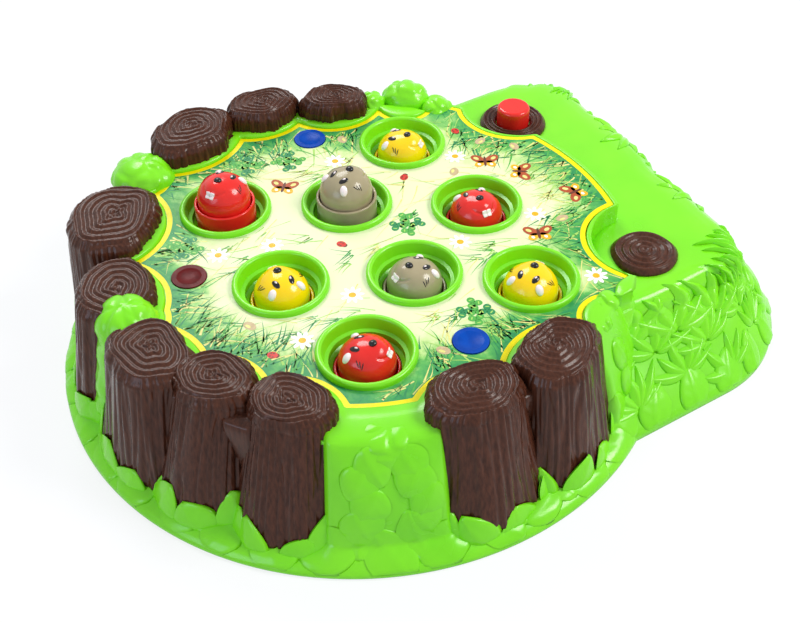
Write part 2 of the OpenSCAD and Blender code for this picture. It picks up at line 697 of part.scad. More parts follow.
module motor_pinion() {
    color("Goldenrod") at_play([0, motor_y], wheel_z) difference() {
        linear_extrude(wheel_t) gear_2d(motor_teeth, wheel_module, -90);
        translate([0, 0, -eps]) cylinder(r = shaft_r + shaft_fit, h = wheel_t + 2 * eps, $fn = 32);
    }
}
module drive_motor() {
    color("Silver") at_play([0, motor_y], cover_t) {
        cylinder(r = motor_r, h = motor_top_z - cover_t, $fn = 48);
        cylinder(r = shaft_r, h = wheel_z + wheel_t - cover_t, $fn = 32);
    }
}
module motor_bracket() {
    color("Gray") at_play([0, motor_y], motor_top_z) difference() {
        union() {
            translate([-motor_r - 6, -5, 0]) cube([2 * motor_r + 12, 10, 1.2]);
            for (side = [-1, 1]) translate([side * (motor_r + 6), 0, 0]) cylinder(r = 5, h = 1.2, $fn = 32);
        }
        translate([0, 0, -eps]) cylinder(r = 3, h = 2, $fn = 32);
    }
}

// The button hangs on its flange below the lobe, and a spring on the switch board pushes it up
module start_button() {
    edge = 1.6;
    top_z = lobe_z + button_h;
    stem_z = board_z + board_t + key_h + fit + button_travel;
    color("Crimson") at_play(button_at) {
        rotate_extrude($fn = 64) union() {
            translate([0, button_flange_z - 2]) square([button_r, top_z - edge - button_flange_z + 2]);
            translate([0, top_z - edge - eps]) square([button_r - edge, edge + eps]);
            translate([button_r - edge, top_z - edge]) circle(edge, $fn = 32);
            translate([0, button_flange_z - 2]) square([button_r + 2.4, 2]);
        }
        translate([0, 0, stem_z]) cylinder(r = 3, h = button_flange_z - stem_z - 1, $fn = 32);
    }
}
module button_spring() {
    z = board_z + board_t;
    color("Silver") at_play(button_at, z) tube(6.2, 5, button_flange_z - 2 - z);
}
module button_board() {
    color("DarkGreen") at_play(button_at, board_z) {
        translate([-15, -8, 0]) cube([30, 16, board_t]);
        translate([-3, -3, board_t - eps]) cube([6, 6, key_h - 1]);
        translate([0, 0, board_t]) cylinder(r = 1.7, h = key_h, $fn = 32);
    }
}
module power_switch_body() {
    color("DimGray") at_play(switch_at, 5) {
        translate([-12, -4, 0]) cube([24, 8, 1.2]);
        translate([-8, -4, 1]) cube([16, 8, 4.5]);
    }
}
module power_switch_knob() {
    color("Black") at_play(switch_at + [-switch_throw / 2, 0]) {
        translate([-knob_l / 2, -knob_w / 2, 0.5]) cube([knob_l, knob_w, cover_t]);
        translate([-knob_l / 2 - 1, -knob_w / 2 - 1, cover_t + 0.2]) cube([knob_l + 2, knob_w + 2, 2.3]);
    }
}

// Moles: a cup that the cam raises, a head on a spring in the cup and a contact ring on the cup's floor
module mole_cup(i) {
    color(mole_colors[i - 1]) at_mole(i) difference() {
        union() {
            rotate_extrude($fn = 64) union() {
                translate([cup_r - cup_wall, -cup_h]) square([cup_wall, cup_h - cup_wall / 2]);
                translate([cup_r - cup_wall / 2, -cup_wall / 2]) circle(cup_wall / 2, $fn = 24);
                translate([0, -cup_h]) square([cup_r - cup_wall / 2, cup_floor]);
            }
            translate([0, 0, -cup_h - stem_l]) cylinder(r = stem_r, h = stem_l + eps, $fn = 48);
        }
        translate([0, 0, -cup_h - stem_l - eps])
            cylinder(r = pin_r + run, h = stem_l + cup_floor + 2 * eps, $fn = 32);
    }
}
// A point on the dome of a head, and the face that is moulded on it with its chin along X
function dome(a, e) = [
    head_r * cos(e) * cos(a), head_r * cos(e) * sin(a), head_h * (head_side + (1 - head_side) * sin(e))];
module mole_head(i) {
    cap = [for (e = [0:9:90]) [head_r * cos(e), head_h * (head_side + (1 - head_side) * sin(e))]];
    muzzle_r = 4;
    ear_r = 2.4;
    sunk = 0.74;
    color(mole_colors[i - 1]) at_mole(i) {
        rotate_extrude($fn = 64) polygon(concat([[0, -head_drop], [head_r, -head_drop]], cap));
        translate([0, 0, -cup_h + cup_floor]) cylinder(r = pin_r, h = under_head_h + 1, $fn = 32);
        rotate(face_deg[i - 1]) {
            translate(sunk * dome(0, 55)) sphere(muzzle_r, $fn = 24);
            translate(dome(0, 72)) sphere(1.3, $fn = 16);
            translate(dome(0, 26)) rotate([0, 64, 0]) translate([-1.1, -1.7, -1]) cube([2.2, 3.4, 1.4]);
            for (side = [-1, 1]) {
                translate(dome(side * 115, 66)) sphere(0.9, $fn = 16);
                translate((1 - 0.6 * ear_r / head_r) * dome(side * 124, 38)) sphere(ear_r, $fn = 16);
            }
        }
    }
}
module mole_spring(i) {
    color("Silver") at_mole(i) translate([0, 0, -cup_h + cup_floor])
        tube(4.4, 3.2, under_head_h);
}
module hit_contact(i) {
    color("Goldenrod") at_mole(i) translate([0, 0, -cup_h + cup_floor])
        tube(8.4, 6, under_head_h - hit_travel - run);
}

top_shell();
deck_plate();
play_panel();
lens_red();
lens_blue_right();
lens_blue_left();
indicator_leds();
bottom_cover();
case_screws();
battery_door();
battery_door_screw();
aa_cells();
battery_contacts();
main_board();
speaker();
drive_motor();
motor_bracket();
cam_disc();
compound_gear();
motor_pinion();
start_button();
button_spring();
button_board();
power_switch_body();
power_switch_knob();
for (i = [1:8]) {
    mole_cup(i);
    mole_head(i);
    mole_spring(i);
    hit_contact(i);
}
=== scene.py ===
import math
import random

import bpy
from mathutils import Matrix, Quaternion, Vector, noise


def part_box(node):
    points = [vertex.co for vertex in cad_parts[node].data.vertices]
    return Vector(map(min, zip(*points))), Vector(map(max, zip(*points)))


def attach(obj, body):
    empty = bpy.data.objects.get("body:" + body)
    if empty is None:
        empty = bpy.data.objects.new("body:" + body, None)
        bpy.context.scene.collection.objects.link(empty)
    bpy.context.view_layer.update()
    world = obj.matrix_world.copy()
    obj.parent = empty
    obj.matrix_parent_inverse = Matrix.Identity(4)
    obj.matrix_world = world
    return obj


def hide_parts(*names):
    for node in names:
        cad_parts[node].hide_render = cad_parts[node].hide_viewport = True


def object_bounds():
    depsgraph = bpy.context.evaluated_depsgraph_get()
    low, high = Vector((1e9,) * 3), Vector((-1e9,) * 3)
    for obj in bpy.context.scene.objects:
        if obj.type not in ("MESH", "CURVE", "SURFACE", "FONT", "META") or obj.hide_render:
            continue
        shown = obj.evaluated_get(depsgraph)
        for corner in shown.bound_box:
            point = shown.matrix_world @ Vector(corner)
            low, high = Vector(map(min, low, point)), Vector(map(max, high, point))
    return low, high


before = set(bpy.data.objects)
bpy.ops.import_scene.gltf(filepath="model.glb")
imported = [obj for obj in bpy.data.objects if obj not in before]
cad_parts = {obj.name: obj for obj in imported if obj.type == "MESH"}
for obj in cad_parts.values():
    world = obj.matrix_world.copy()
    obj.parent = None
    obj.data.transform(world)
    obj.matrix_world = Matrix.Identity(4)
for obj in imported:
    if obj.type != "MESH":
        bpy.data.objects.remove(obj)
cad_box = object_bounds()
bpy.ops.object.select_all(action='DESELECT')

# Stage: a pale floor under a white surround, with one large soft lamp to the camera's right, one behind the
# toy and a weak cool one to the left. The camera stands where the photograph was taken from.
mm = 0.001


def linear(hex_colour):
    """An sRGB hex colour as linear red, green, blue and alpha."""
    parts = [int(hex_colour[i:i + 2], 16) / 255 for i in (1, 3, 5)]
    return tuple(c / 12.92 if c <= 0.04045 else ((c + 0.055) / 1.055) ** 2.4 for c in parts) + (1.0,)


def add_node(tree, kind, sockets=None, **settings):
    """Adds a node with its settings, and fills or links its input sockets."""
    made = tree.nodes.new(kind)
    for name, value in settings.items():
        setattr(made, name, value)
    for name, value in (sockets or {}).items():
        if isinstance(value, bpy.types.NodeSocket):
            tree.links.new(value, made.inputs[name])
        else:
            made.inputs[name].default_value = value
    return made


def seen_rays(tree):
    """1 for rays from the camera and for those that gloss or glass send on, and 0 for the others."""
    path = add_node(tree, "ShaderNodeLightPath").outputs
    sees = path["Is Camera Ray"]
    for bounced in ("Is Glossy Ray", "Is Transmission Ray"):
        sees = add_node(tree, "ShaderNodeMath", {0: sees, 1: path[bounced]}, operation='MAXIMUM').outputs[0]
    return sees


scene = bpy.context.scene
scene.view_settings.view_transform = 'Standard'

surround_light = 0.46
world = bpy.data.worlds.new("white_surround")
world.use_nodes = True
scene.world = world
tree = world.node_tree
tree.nodes.clear()
level = add_node(tree, "ShaderNodeMapRange", {
    "Value": seen_rays(tree), "To Min": surround_light, "To Max": 1.0})
glow = add_node(tree, "ShaderNodeBackground", {
    "Color": linear("#FFFFFF"), "Strength": level.outputs["Result"]})
add_node(tree, "ShaderNodeOutputWorld", {"Surface": glow.outputs["Background"]})

floor_size = 8.0
floor_gap = 0.05 * mm
floor_white = 0.72
floor_glow = 1.1
bpy.ops.mesh.primitive_plane_add(size=floor_size, location=(0, 0, -floor_gap))
floor = bpy.context.object
floor.name = "floor"
floor_paint = bpy.data.materials.new("white_paper_sweep")
floor_paint.use_nodes = True
tree = floor_paint.node_tree
tree.nodes.clear()
share = add_node(tree, "ShaderNodeMath", {0: seen_rays(tree), 1: floor_white}, operation='MULTIPLY')
paper = add_node(tree, "ShaderNodeBsdfDiffuse", {"Color": linear("#DDE0E6")})
white = add_node(tree, "ShaderNodeEmission", {"Color": linear("#FFFFFF"), "Strength": floor_glow})
both = add_node(tree, "ShaderNodeMixShader", {
    0: share.outputs[0], 1: paper.outputs[0], 2: white.outputs[0]})
add_node(tree, "ShaderNodeOutputMaterial", {"Surface": both.outputs[0]})
floor.data.materials.append(floor_paint)

look_from = Vector((-332.85, 204.91, 368.59)) * mm
look_at = Vector((-41.82, 26.57, 50.0)) * mm
camera_roll = math.radians(-0.82)
focal_pixels = 1217.5
photo_width = 800
camera_data = bpy.data.cameras.new("camera")
camera_data.sensor_width = 36.0
camera_data.lens = focal_pixels * camera_data.sensor_width / photo_width
camera = bpy.data.objects.new("camera", camera_data)
scene.collection.objects.link(camera)
camera.rotation_mode = 'QUATERNION'
camera.location = look_from
camera.rotation_quaternion = ((look_at - look_from).to_track_quat('-Z', 'Y')
                              @ Quaternion((0, 0, 1), camera_roll))
scene.camera = camera

for name, spot, size, watts, tint in (
        ("key_lamp", (-0.55, -0.75, 0.95), 0.55, 12.0, "#FFFDF8"),
        ("back_lamp", (0.75, -0.15, 0.85), 0.5, 6.0, "#FFFFFF"),
        ("cool_lamp", (-0.25, 0.95, 0.45), 0.6, 3.0, "#CFE2FF")):
    lamp_data = bpy.data.lights.new(name, 'AREA')
    lamp_data.shape = 'DISK'
    lamp_data.size = size
    lamp_data.energy = watts
    lamp_data.color = linear(tint)[:3]
    lamp = bpy.data.objects.new(name, lamp_data)
    scene.collection.objects.link(lamp)
    lamp.location = spot
    lamp.rotation_euler = (look_at - Vector(spot)).to_track_quat('-Z', 'Y').to_euler()


# Underside: the flat cover with its battery door and slide switch, moulded in the shell's green with a
# fine matt texture, and the plated screws that hold them.
def new_finish(name):
    """A new material, its node tree, its shader and the coordinates of the piece that carries it."""
    made = bpy.data.materials.new(name)
    made.use_nodes = True
    tree = made.node_tree
    place = add_node(tree, "ShaderNodeTexCoord").outputs["Object"]
    return made, tree, tree.nodes["Principled BSDF"], place


def moulded_plastic(name, tone, shade, gloss, drift, peel, peel_depth):
    """Moulded plastic. The colour drifts a little where the melt flowed, and the skin has a faint orange peel
    that breaks up the highlights. Drift, peel and its depth are in millimetres."""
    made, tree, shader, place = new_finish(name)
    low, high = 0.3, 0.7
    gloss_drift = 0.04
    flow = add_node(tree, "ShaderNodeTexNoise", {"Vector": place, "Scale": 1 / (drift * mm), "Detail": 3.0})
    tint = add_node(tree, "ShaderNodeValToRGB", {"Fac": flow.outputs["Fac"]})
    for stop, position, colour in zip(tint.color_ramp.elements, (low, high), (shade, tone)):
        stop.position = position
        stop.color = linear(colour)
    tree.links.new(tint.outputs["Color"], shader.inputs["Base Color"])
    polish = add_node(tree, "ShaderNodeMapRange", {
        "Value": flow.outputs["Fac"], "From Min": low, "From Max": high,
        "To Min": gloss + gloss_drift, "To Max": gloss - gloss_drift})
    tree.links.new(polish.outputs["Result"], shader.inputs["Roughness"])
    skin = add_node(tree, "ShaderNodeTexNoise", {"Vector": place, "Scale": 1 / (peel * mm), "Detail": 2.0})
    bump = add_node(tree, "ShaderNodeBump", {
        "Height": skin.outputs["Fac"], "Strength": 0.6, "Distance": peel_depth * mm})
    tree.links.new(bump.outputs["Normal"], shader.inputs["Normal"])
    shader.inputs["IOR"].default_value = 1.53
    shader.inputs["Specular IOR Level"].default_value = 0.35
    return made


def paint_nodes(material, *nodes):
    """Gives CAD nodes their material."""
    for node in nodes:
        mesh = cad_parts[node].data
        mesh.materials.clear()
        mesh.materials.append(material)


def plated_metal(name, tone, roughness, scratch):
    """Plated steel or bare brass: metallic, with a roughness and a tone that vary in fine drawing marks.
    Their size is in millimetres."""
    made, tree, shader, place = new_finish(name)
    marks = add_node(tree, "ShaderNodeTexNoise", {
        "Vector": place, "Scale": 1 / (scratch * mm), "Detail": 4.0})
    wear = add_node(tree, "ShaderNodeMapRange", {
        "Value": marks.outputs["Fac"], "To Min": roughness - 0.1, "To Max": roughness + 0.12})
    tree.links.new(wear.outputs["Result"], shader.inputs["Roughness"])
    light = add_node(tree, "ShaderNodeMapRange", {
        "Value": marks.outputs["Fac"], "To Min": 0.85, "To Max": 1.1})
    tint = add_node(tree, "ShaderNodeHueSaturation", {
        "Color": linear(tone), "Value": light.outputs["Result"]})
    tree.links.new(tint.outputs["Color"], shader.inputs["Base Color"])
    shader.inputs["Metallic"].default_value = 1.0
    return made


cover_green = moulded_plastic("textured_green_abs", "#74D822", "#69CB1C", 0.5, 30, 0.5, 0.06)
black_abs = moulded_plastic("black_abs", "#2A2A2C", "#1E1E20", 0.4, 8, 0.5, 0.03)
zinc_steel = plated_metal("zinc_plated_steel", "#B9BCC0", 0.34, 0.6)
brass = plated_metal("bare_brass", "#C9A253", 0.32, 0.6)
paint_nodes(cover_green, "bottom_cover", "battery_door")
paint_nodes(black_abs, "power_switch_body", "power_switch_knob", "speaker")
paint_nodes(zinc_steel, "case_screws", "battery_door_screw", "battery_contacts", "motor_bracket",
            "drive_motor", "button_spring")

# Works inside the base: acetal cam and gears on a small motor, circuit boards in green solder mask, cells in
# plain sleeves and clear lamps. They are seen only when the cover is off.
acetal = moulded_plastic("natural_acetal", "#EDEBE4", "#E2E0D8", 0.42, 12, 0.8, 0.03)
solder_mask = moulded_plastic("green_solder_mask", "#1E6B35", "#175A2B", 0.3, 3, 0.4, 0.02)
cell_sleeve = moulded_plastic("printed_steel_sleeve", "#4A4C50", "#404246", 0.35, 10, 0.6, 0.01)
lamp_epoxy = moulded_plastic("clear_lamp_epoxy", "#F2F1EA", "#E8E6DE", 0.2, 4, 0.5, 0.01)
paint_nodes(acetal, "cam_disc", "compound_gear")
paint_nodes(solder_mask, "main_board", "button_board")
paint_nodes(cell_sleeve, "aa_cells")
paint_nodes(lamp_epoxy, "indicator_leds")
mole_count = 8
numbers = range(1, mole_count + 1)
paint_nodes(zinc_steel, *(f"mole_spring_{k}" for k in numbers))
paint_nodes(brass, "motor_pinion", *(f"hit_contact_{k}" for k in numbers))

# Round wall of the shell: one green moulding with a leafy skirt. It leans in behind the stumps to a ledge
# that frames the printed panel, and opens at the front, where the panel steps down to the lobe.
field = Vector((0.0, 20.25)) * mm
play = Vector((0.0, 10.25)) * mm
base_r = 126.5 * mm
foot_r = 118.0 * mm
foot_z = 9.0 * mm
ledge_r = 105.5 * mm
panel_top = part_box("play_panel")[1][2]
ledge_z = panel_top + 1.5 * mm
lobe_z = 38.5 * mm
cusp_r = 101.0 * mm
front_r = 111.0 * mm
front_half = 80.0 * mm
front_from = 60.0 * mm
bite_r = 25.0 * mm
tuck_z = 40 * mm
edge_gap = 0.3 * mm
least_ledge = 3 * mm
# Half angles at the front within which the wall is open, and beyond which it is closed
front_open = (37, 46)
# The panel's edge stands further in along the left, between these angles
left_inset = 13.5 * mm
left_from, left_to = (88, 100), (200, 212)
# Stumps: angle in degrees, then distance from the field's middle, half width, half depth and extra height
# in millimetres
stumps = (
    (-24, 99.5, 16, 11, 2), (-5.5, 105, 18, 12.5, 2), (14, 106.5, 22, 15.5, 2), (50, 103, 24, 19, 0),
    (76, 98, 20.5, 16.5, 0), (99, 98.5, 21, 15.5, 0), (115.5, 92.5, 17.5, 14.5, 0),
    (134.5, 92, 17.3, 14.5, 0), (175, 95.5, 20, 14.8, 0), (197, 99, 20.5, 15.5, 0))
stump_foot, stump_side, stump_reach = 6, 48, 121.9
# The panel's edge keeps this many half depths from a stump's middle, and the wall comes out again between
# these shares of the half angle that a stump covers
stump_room = 1.12
cover_from, cover_to = 0.5, 0.86
# Gaps between the stumps where the green shows: angle in degrees, distance and half width in millimetres
mounds = ((-42, 103, 10), (32, 103, 9), (83.5, 93.5, 13), (215, 103, 10))
mound_out, mound_room = 4, 2
# Open slopes where the wall swells: angle, and how far to its sides the swell is full and gone, in degrees
slopes = ((155, 7, 12), (214, 6, 11))
# Stumps less than this angle apart have a web between them, with a dip to each side of its middle
close_by = 28
web_r, web_dip = 105, 9
web_flat, web_end = 2.5, 6.5
button_at = play + Vector((50.4, -104.4)) * mm
bites = (button_at - field, play + Vector((-58.0, -93.0)) * mm - field)


def step_to(degrees):
    """A step of one unit on the plan in a direction."""
    return Vector((math.cos(math.radians(degrees)), math.sin(math.radians(degrees))))


def polar(r, degrees):
    """A point on the plan round the field's middle."""
    return field + r * step_to(degrees)


def heading_of(spot):
    """The direction of a point on the plan from the field's middle, in degrees."""
    return math.degrees(math.atan2(spot.y - field.y, spot.x - field.x))


edge_cuts = [(b, bite_r) for b in bites]
for angle, middle, half_w, half_d, _ in stumps:
    bend = half_w * half_w / half_d * mm
    edge_cuts.append((polar((middle - stump_room * half_d) * mm + bend, angle) - field, bend))
for angle, middle, half_w in mounds:
    edge_cuts.append((polar((middle + mound_out) * mm, angle) - field, (half_w + mound_room) * mm))


def smooth_step(low, high, value):
    """0 at low, 1 at high and a soft ramp between."""
    t = min(1.0, max(0.0, (value - low) / (high - low)))
    return t * t * (3 - 2 * t)


def panel_edge(degrees, inset=0.0):
    """How far the panel reaches from the field's middle in a direction, with an inset from its edge."""
    ray = step_to(degrees)
    on_left = smooth_step(*left_from, degrees % 360) * (1 - smooth_step(*left_to, degrees % 360))
    reach = cusp_r - left_inset * on_left - inset
    ahead = min(front_r - inset, (front_half - inset) / max(abs(ray.x), 1e-6))
    if ahead * -ray.y > front_from:
        reach = max(reach, ahead)
    for centre, radius in edge_cuts:
        along = ray.dot(centre)
        aside = centre.length_squared - along * along
        if along > 0 and aside < (radius + inset) ** 2:
            reach = min(reach, along - math.sqrt((radius + inset) ** 2 - aside))
    return reach


def turn_outwards(made):
    """Turns all faces of a mesh outwards. Its object stays selected."""
    bpy.context.view_layer.objects.active = made
    made.select_set(True)
    bpy.ops.object.mode_set(mode='EDIT')
    bpy.ops.mesh.select_all(action='SELECT')
    bpy.ops.mesh.normals_make_consistent(inside=False)
    bpy.ops.object.mode_set(mode='OBJECT')


def wrapped_grid(name, around, along, place):
    """A grid with each point put where place(u, v) says, u and v from 0 to 1. Its seams are merged and its
    faces turned outwards."""
    bpy.ops.mesh.primitive_grid_add(x_subdivisions=around, y_subdivisions=along, size=2)
    made = bpy.context.object
    made.name = name
    made.data.name = name
    for point in made.data.vertices:
        point.co = place((point.co.x + 1) / 2, (point.co.y + 1) / 2)
    bpy.ops.object.mode_set(mode='EDIT')
    bpy.ops.mesh.select_all(action='SELECT')
    bpy.ops.mesh.remove_doubles(threshold=0.004 * mm)
    bpy.ops.object.mode_set(mode='OBJECT')
    turn_outwards(made)
    bpy.ops.object.shade_smooth()
    return made


def between(points, t):
    """A point on an open line of points, t from 0 to 1 by the count of its stretches."""
    spot = t * (len(points) - 1)
    k = min(int(spot), len(points) - 2)
    return Vector(points[k]).lerp(Vector(points[k + 1]), spot - k)


def turn_from(degrees, angle):
    """The signed difference of two directions in degrees."""
    return (degrees - angle + 180) % 360 - 180


def rim_heading(degrees):
    """A direction from -60 to 300 degrees, which runs past all the stumps without a jump."""
    return (degrees + 60) % 360 - 60


def foot_throw(middle, half_d):
    """How far a stump's foot stands out from under its top, in millimetres."""
    return max(0.5, stump_reach - middle - 1.1 * half_d)


close_stumps = [(near[0], far[0]) for near, far in zip(stumps, stumps[1:]) if far[0] - near[0] < close_by]


def wall_section(degrees):
    """The wall cut along a direction, as distance from the field's middle and height: up inside the panel's
    edge, over the ledge, down the outside to the foot and back up inside."""
    edge = panel_edge(degrees) + edge_gap
    slope = max(1 - smooth_step(full, gone, abs(turn_from(degrees, angle))) for angle, full, gone in slopes)
    hidden, middles = 0.0, Vector((0.0, 0.0))
    for angle, middle, half_w, half_d, _ in stumps:
        spread = math.degrees(1.1 * half_w / (middle + 8))
        share = 1 - smooth_step(cover_from * spread, cover_to * spread, abs(turn_from(degrees, angle)))
        hidden += share
        middles += share * Vector((middle, foot_throw(middle, half_d)))
    middles /= max(hidden, 1e-6)
    hidden = min(hidden, 1.0)
    web = 0.0
    for near, far in close_stumps:
        if near < rim_heading(degrees) < far:
            hidden = 1.0
            aside = abs(turn_from(degrees, (near + far) / 2))
            web = (web_r - web_dip * smooth_step(web_flat, web_end, aside)) * mm

    def set_back(r, z):
        """A point of the wall, drawn in where a stump stands before it."""
        stump_middle = (middles.x + middles.y * (1 - (z / mm - stump_foot) / stump_side) + 1) * mm
        stump_middle = max(stump_middle, edge + least_ledge, web)
        return (r + (min(r, stump_middle) - r) * hidden, z)

    brow_z = ledge_z - (1.5 + 1.6 * slope) * mm
    brow_r = set_back(ledge_r, brow_z)[0]
    foot = set_back(foot_r, foot_z)[0]
    back = [(edge, tuck_z), (edge, ledge_z - 0.8 * mm), (edge + 0.8 * mm, ledge_z),
            (brow_r - 1.5 * mm, ledge_z - 1.2 * mm * slope), (brow_r, brow_z)]
    for t in (0.2, 0.4, 0.6, 0.8):
        back.append(set_back(ledge_r + (foot_r - ledge_r) * t + 2.5 * mm * slope * math.sin(math.pi * t),
                             brow_z + (foot_z - brow_z) * t))
    back += [(foot, foot_z), (base_r - 3.4 * mm, 5.0 * mm), (base_r, 2.2 * mm), (base_r, 0.2 * mm),
             (base_r - 4 * mm, 0.2 * mm), (foot - 5 * mm, foot_z), (edge + 1.5 * mm, tuck_z), (edge, tuck_z)]
    top = panel_top
    front = [(edge, tuck_z), (edge, top - 0.5 * mm), (edge + 0.5 * mm, top), (edge + 1.7 * mm, top),
             (edge + 2.3 * mm, top - 0.6 * mm)]
    front += [(edge + 2.4 * mm, z * mm) for z in (46, 44, 42, 40)]
    front += [(edge + 2.5 * mm, z * mm) for z in (38, 37, 36, 35)]
    front += [(edge + 1.9 * mm, 35 * mm), (edge + 1.2 * mm, 35 * mm), (edge + 0.4 * mm, 36 * mm),
              (edge, tuck_z)]
    openness = 1 - smooth_step(*front_open, abs(turn_from(degrees, -90)))
    return [Vector(b).lerp(Vector(f), openness) for b, f in zip(back, front)]


wall_steps = 720
wall_rows = 34
wall_sections = [wall_section(360 * k / wall_steps) for k in range(wall_steps + 1)]


def wall_place(u, v):
    r, z = between(wall_sections[round(u * wall_steps)], v)
    plan = polar(r, 360 * u)
    return Vector((plan.x, plan.y, z))


wall = wrapped_grid("shell_wall", wall_steps, wall_rows, wall_place)

foot_index = 11
ledge_index = 2


def stretch_at(line, up):
    """The two points of a line between which a length along it ends, and what is left of the length there."""
    up = max(up, 0.0)
    for a, b in zip(line, line[1:]):
        span = (b - a).length
        if up <= span or span == 0:
            break
        up -= span
    return a, b, up


def wall_skin(across, up, rise):
    """A point on the wall's outside: degrees round it, a length up from its foot, and a rise off it."""
    spot = across % 360 / 360 * wall_steps
    k = int(spot)
    low, high = wall_sections[k], wall_sections[min(k + 1, wall_steps)]
    line = [low[j].lerp(high[j], spot - k) for j in range(foot_index, ledge_index - 1, -1)]
    a, b, rest = stretch_at(line, up)
    run = (b - a).normalized()
    flat = a + run * rest + Vector((run.y, -run.x)) * rise
    plan = polar(flat.x, across)
    return Vector((plan.x, plan.y, flat.y))


def leaf_place(u, v):
    """One moulded leaf, a unit long and wide with its tip along Y: a low pillow with a rib and side veins."""
    s = -1 + 4 * u if u < 0.5 else 3 - 4 * u
    half = 0.5 * math.sin(math.pi * v ** 0.86) ** 0.72 if 0 < v < 1 else 0
    rise = math.sin(math.pi * v) ** 0.4 if 0 < v < 1 else 0
    if u < 0.5:
        vein = (0.5 + 0.5 * math.cos(2 * math.pi * (4.5 * v - 1.1 * abs(s)))) ** 4 * (1 - abs(s)) * abs(s)
        z = rise * (0.34 + 0.5 * (1 - abs(s) ** 2.4) + 0.2 * math.exp(-(s / 0.13) ** 2) - 0.35 * vein)
    else:
        z = -0.3 * (1 - s * s)
    return Vector((s * half, v - 0.5, z - 0.12))


leaf_form = wrapped_grid("leaf_form", 24, 16, leaf_place)


def copy_form(form):
    """A copy of a form with a mesh of its own."""
    made = form.copy()
    made.data = form.data.copy()
    scene.collection.objects.link(made)
    return made


def lay_form(form, skin, across, up, roll, length, width, height, mm_across):
    """A copy of a form that follows a skin, turned on it by a roll. A roll of 0 has its tip up the skin, and
    mm_across is how far one step of the skin's first number goes."""
    made = copy_form(form)
    c, s = math.cos(math.radians(roll)), math.sin(math.radians(roll))
    for point in made.data.vertices:
        x, y = point.co.x * width, point.co.y * length
        point.co = skin(across + (x * c + y * s) / mm_across, up + y * c - x * s, point.co.z * height)
    return made


rng = random.Random(4)


def grown_leaf(form, skin, across, up, roll, lengths, widths, height, mm_across):
    """A leaf or blade laid on a skin, its length and width drawn between two sizes in millimetres."""
    length = rng.uniform(*lengths) * mm
    width = rng.uniform(*widths) * mm
    return lay_form(form, skin, across, up * mm, roll, length, width, height * mm, mm_across)


wall_parts = []
wall_degree = math.radians(foot_r)
leaf_pitch = 9.9


def wall_leaf(angle, up, roll, lengths, widths, height):
    """Lays a leaf on the wall."""
    wall_parts.append(grown_leaf(leaf_form, wall_skin, angle, up, roll, lengths, widths, height, wall_degree))


# Two rows along the skirt, then leaves on the open slope and on the mounds
for k in range(27):
    wall_leaf(-44 + leaf_pitch * k, 9 + rng.uniform(-1, 1), rng.uniform(-75, 75), (21, 27), (16, 20), 1.5)
for k in range(26):
    wall_leaf(-39 + leaf_pitch * k, 15 + rng.uniform(-2, 2), rng.uniform(-45, 45), (18, 24), (13, 17), 1.6)
for up, offsets in ((20, (-5.5, 5)), (29, (-4.2, 6)), (38, (-6, 4)), (44, (-3.2, 3.6))):
    for offset in offsets:
        wall_leaf(155 + offset * 1.02, up, 180 + rng.uniform(-40, 40), (15, 18), (15, 18.5), 1.7)
for angle in (-42, 32, 88, 212):
    for up in (24, 36):
        wall_leaf(angle + rng.uniform(-2.5, 2.5), up, 180 + rng.uniform(-35, 35), (15, 19), (12, 15), 2.4)
# Leafy mounds down to the skirt: angle in degrees, distance and height of the middle, then radial, sideways
# and upright radii in millimetres
domes = ((30, 108.5, 46, 14.5, 14, 11), (21, 103.5, 47, 9, 8, 7), (-42, 112.5, 46, 10, 12, 11),
         (-34, 106.5, 46.5, 7, 7, 8), (-50, 110, 45, 8, 8, 8), (85, 97.5, 46, 13, 13.5, 14.5),
         (155, 98, 42.5, 11, 15, 7.5), (226, 102, 42, 6, 7.5, 6), (220, 101.5, 44, 6, 7.5, 6.5),
         (213.5, 101.5, 43.5, 6, 7, 6))
fold_size = 9 * mm
fold_depth = 0.9 * mm
for angle, middle, height, radial, sideways, upright in domes:
    bpy.ops.mesh.primitive_uv_sphere_add(segments=64, ring_count=32, radius=1)
    dome = bpy.context.object
    foot_middle = foot_r / mm - radial
    for point in dome.data.vertices:
        x, y, z = point.co
        down = max(-z, 0.0)
        wide = math.hypot(x, y)
        if 1e-4 < wide < 1 and down > 0:
            x, y = x / wide, y / wide
        plan = Vector((middle + (foot_middle - middle) * down + x * radial, y * sideways)) * mm
        plan.rotate(Matrix.Rotation(math.radians(angle), 2))
        lift = (height + upright * max(z, 0.0) ** 0.75 + (foot_z / mm - height) * down) * mm
        spot = Vector((field.x + plan.x, field.y + plan.y, lift))
        gaps = noise.voronoi(spot / fold_size)[0]
        fold = fold_depth * (smooth_step(0.0, 0.35, gaps[1] - gaps[0]) - 1)
        away = Vector((x, y, max(z, 0.0)))
        away.rotate(Matrix.Rotation(math.radians(angle), 3, 'Z'))
        point.co = spot + away * fold
    bpy.ops.object.shade_smooth()
    wall_parts.append(dome)


def join_parts(body, parts):
    """Joins parts of one moulding to its body."""
    bpy.ops.object.select_all(action='DESELECT')
    for part in parts:
        part.select_set(True)
    body.select_set(True)
    bpy.context.view_layer.objects.active = body
    bpy.ops.object.join()
    bpy.ops.object.select_all(action='DESELECT')


join_parts(wall, wall_parts)
shell_green = moulded_plastic("lime_green_abs", "#7FE01C", "#74D814", 0.24, 24, 2.2, 0.05)
wall.data.materials.append(shell_green)
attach(wall, "base")
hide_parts("top_shell")

# Tree stumps round the rim: moulded with the shell and sprayed a glossy dark brown, with long bark grooves
# down their sides, a rounded shoulder and stepped growth rings on the tops.
stump_z = 57.0 * mm
stump_foot_z = stump_foot * mm
shoulder = 4.5 * mm
stump_steps, stump_rows = 216, 92
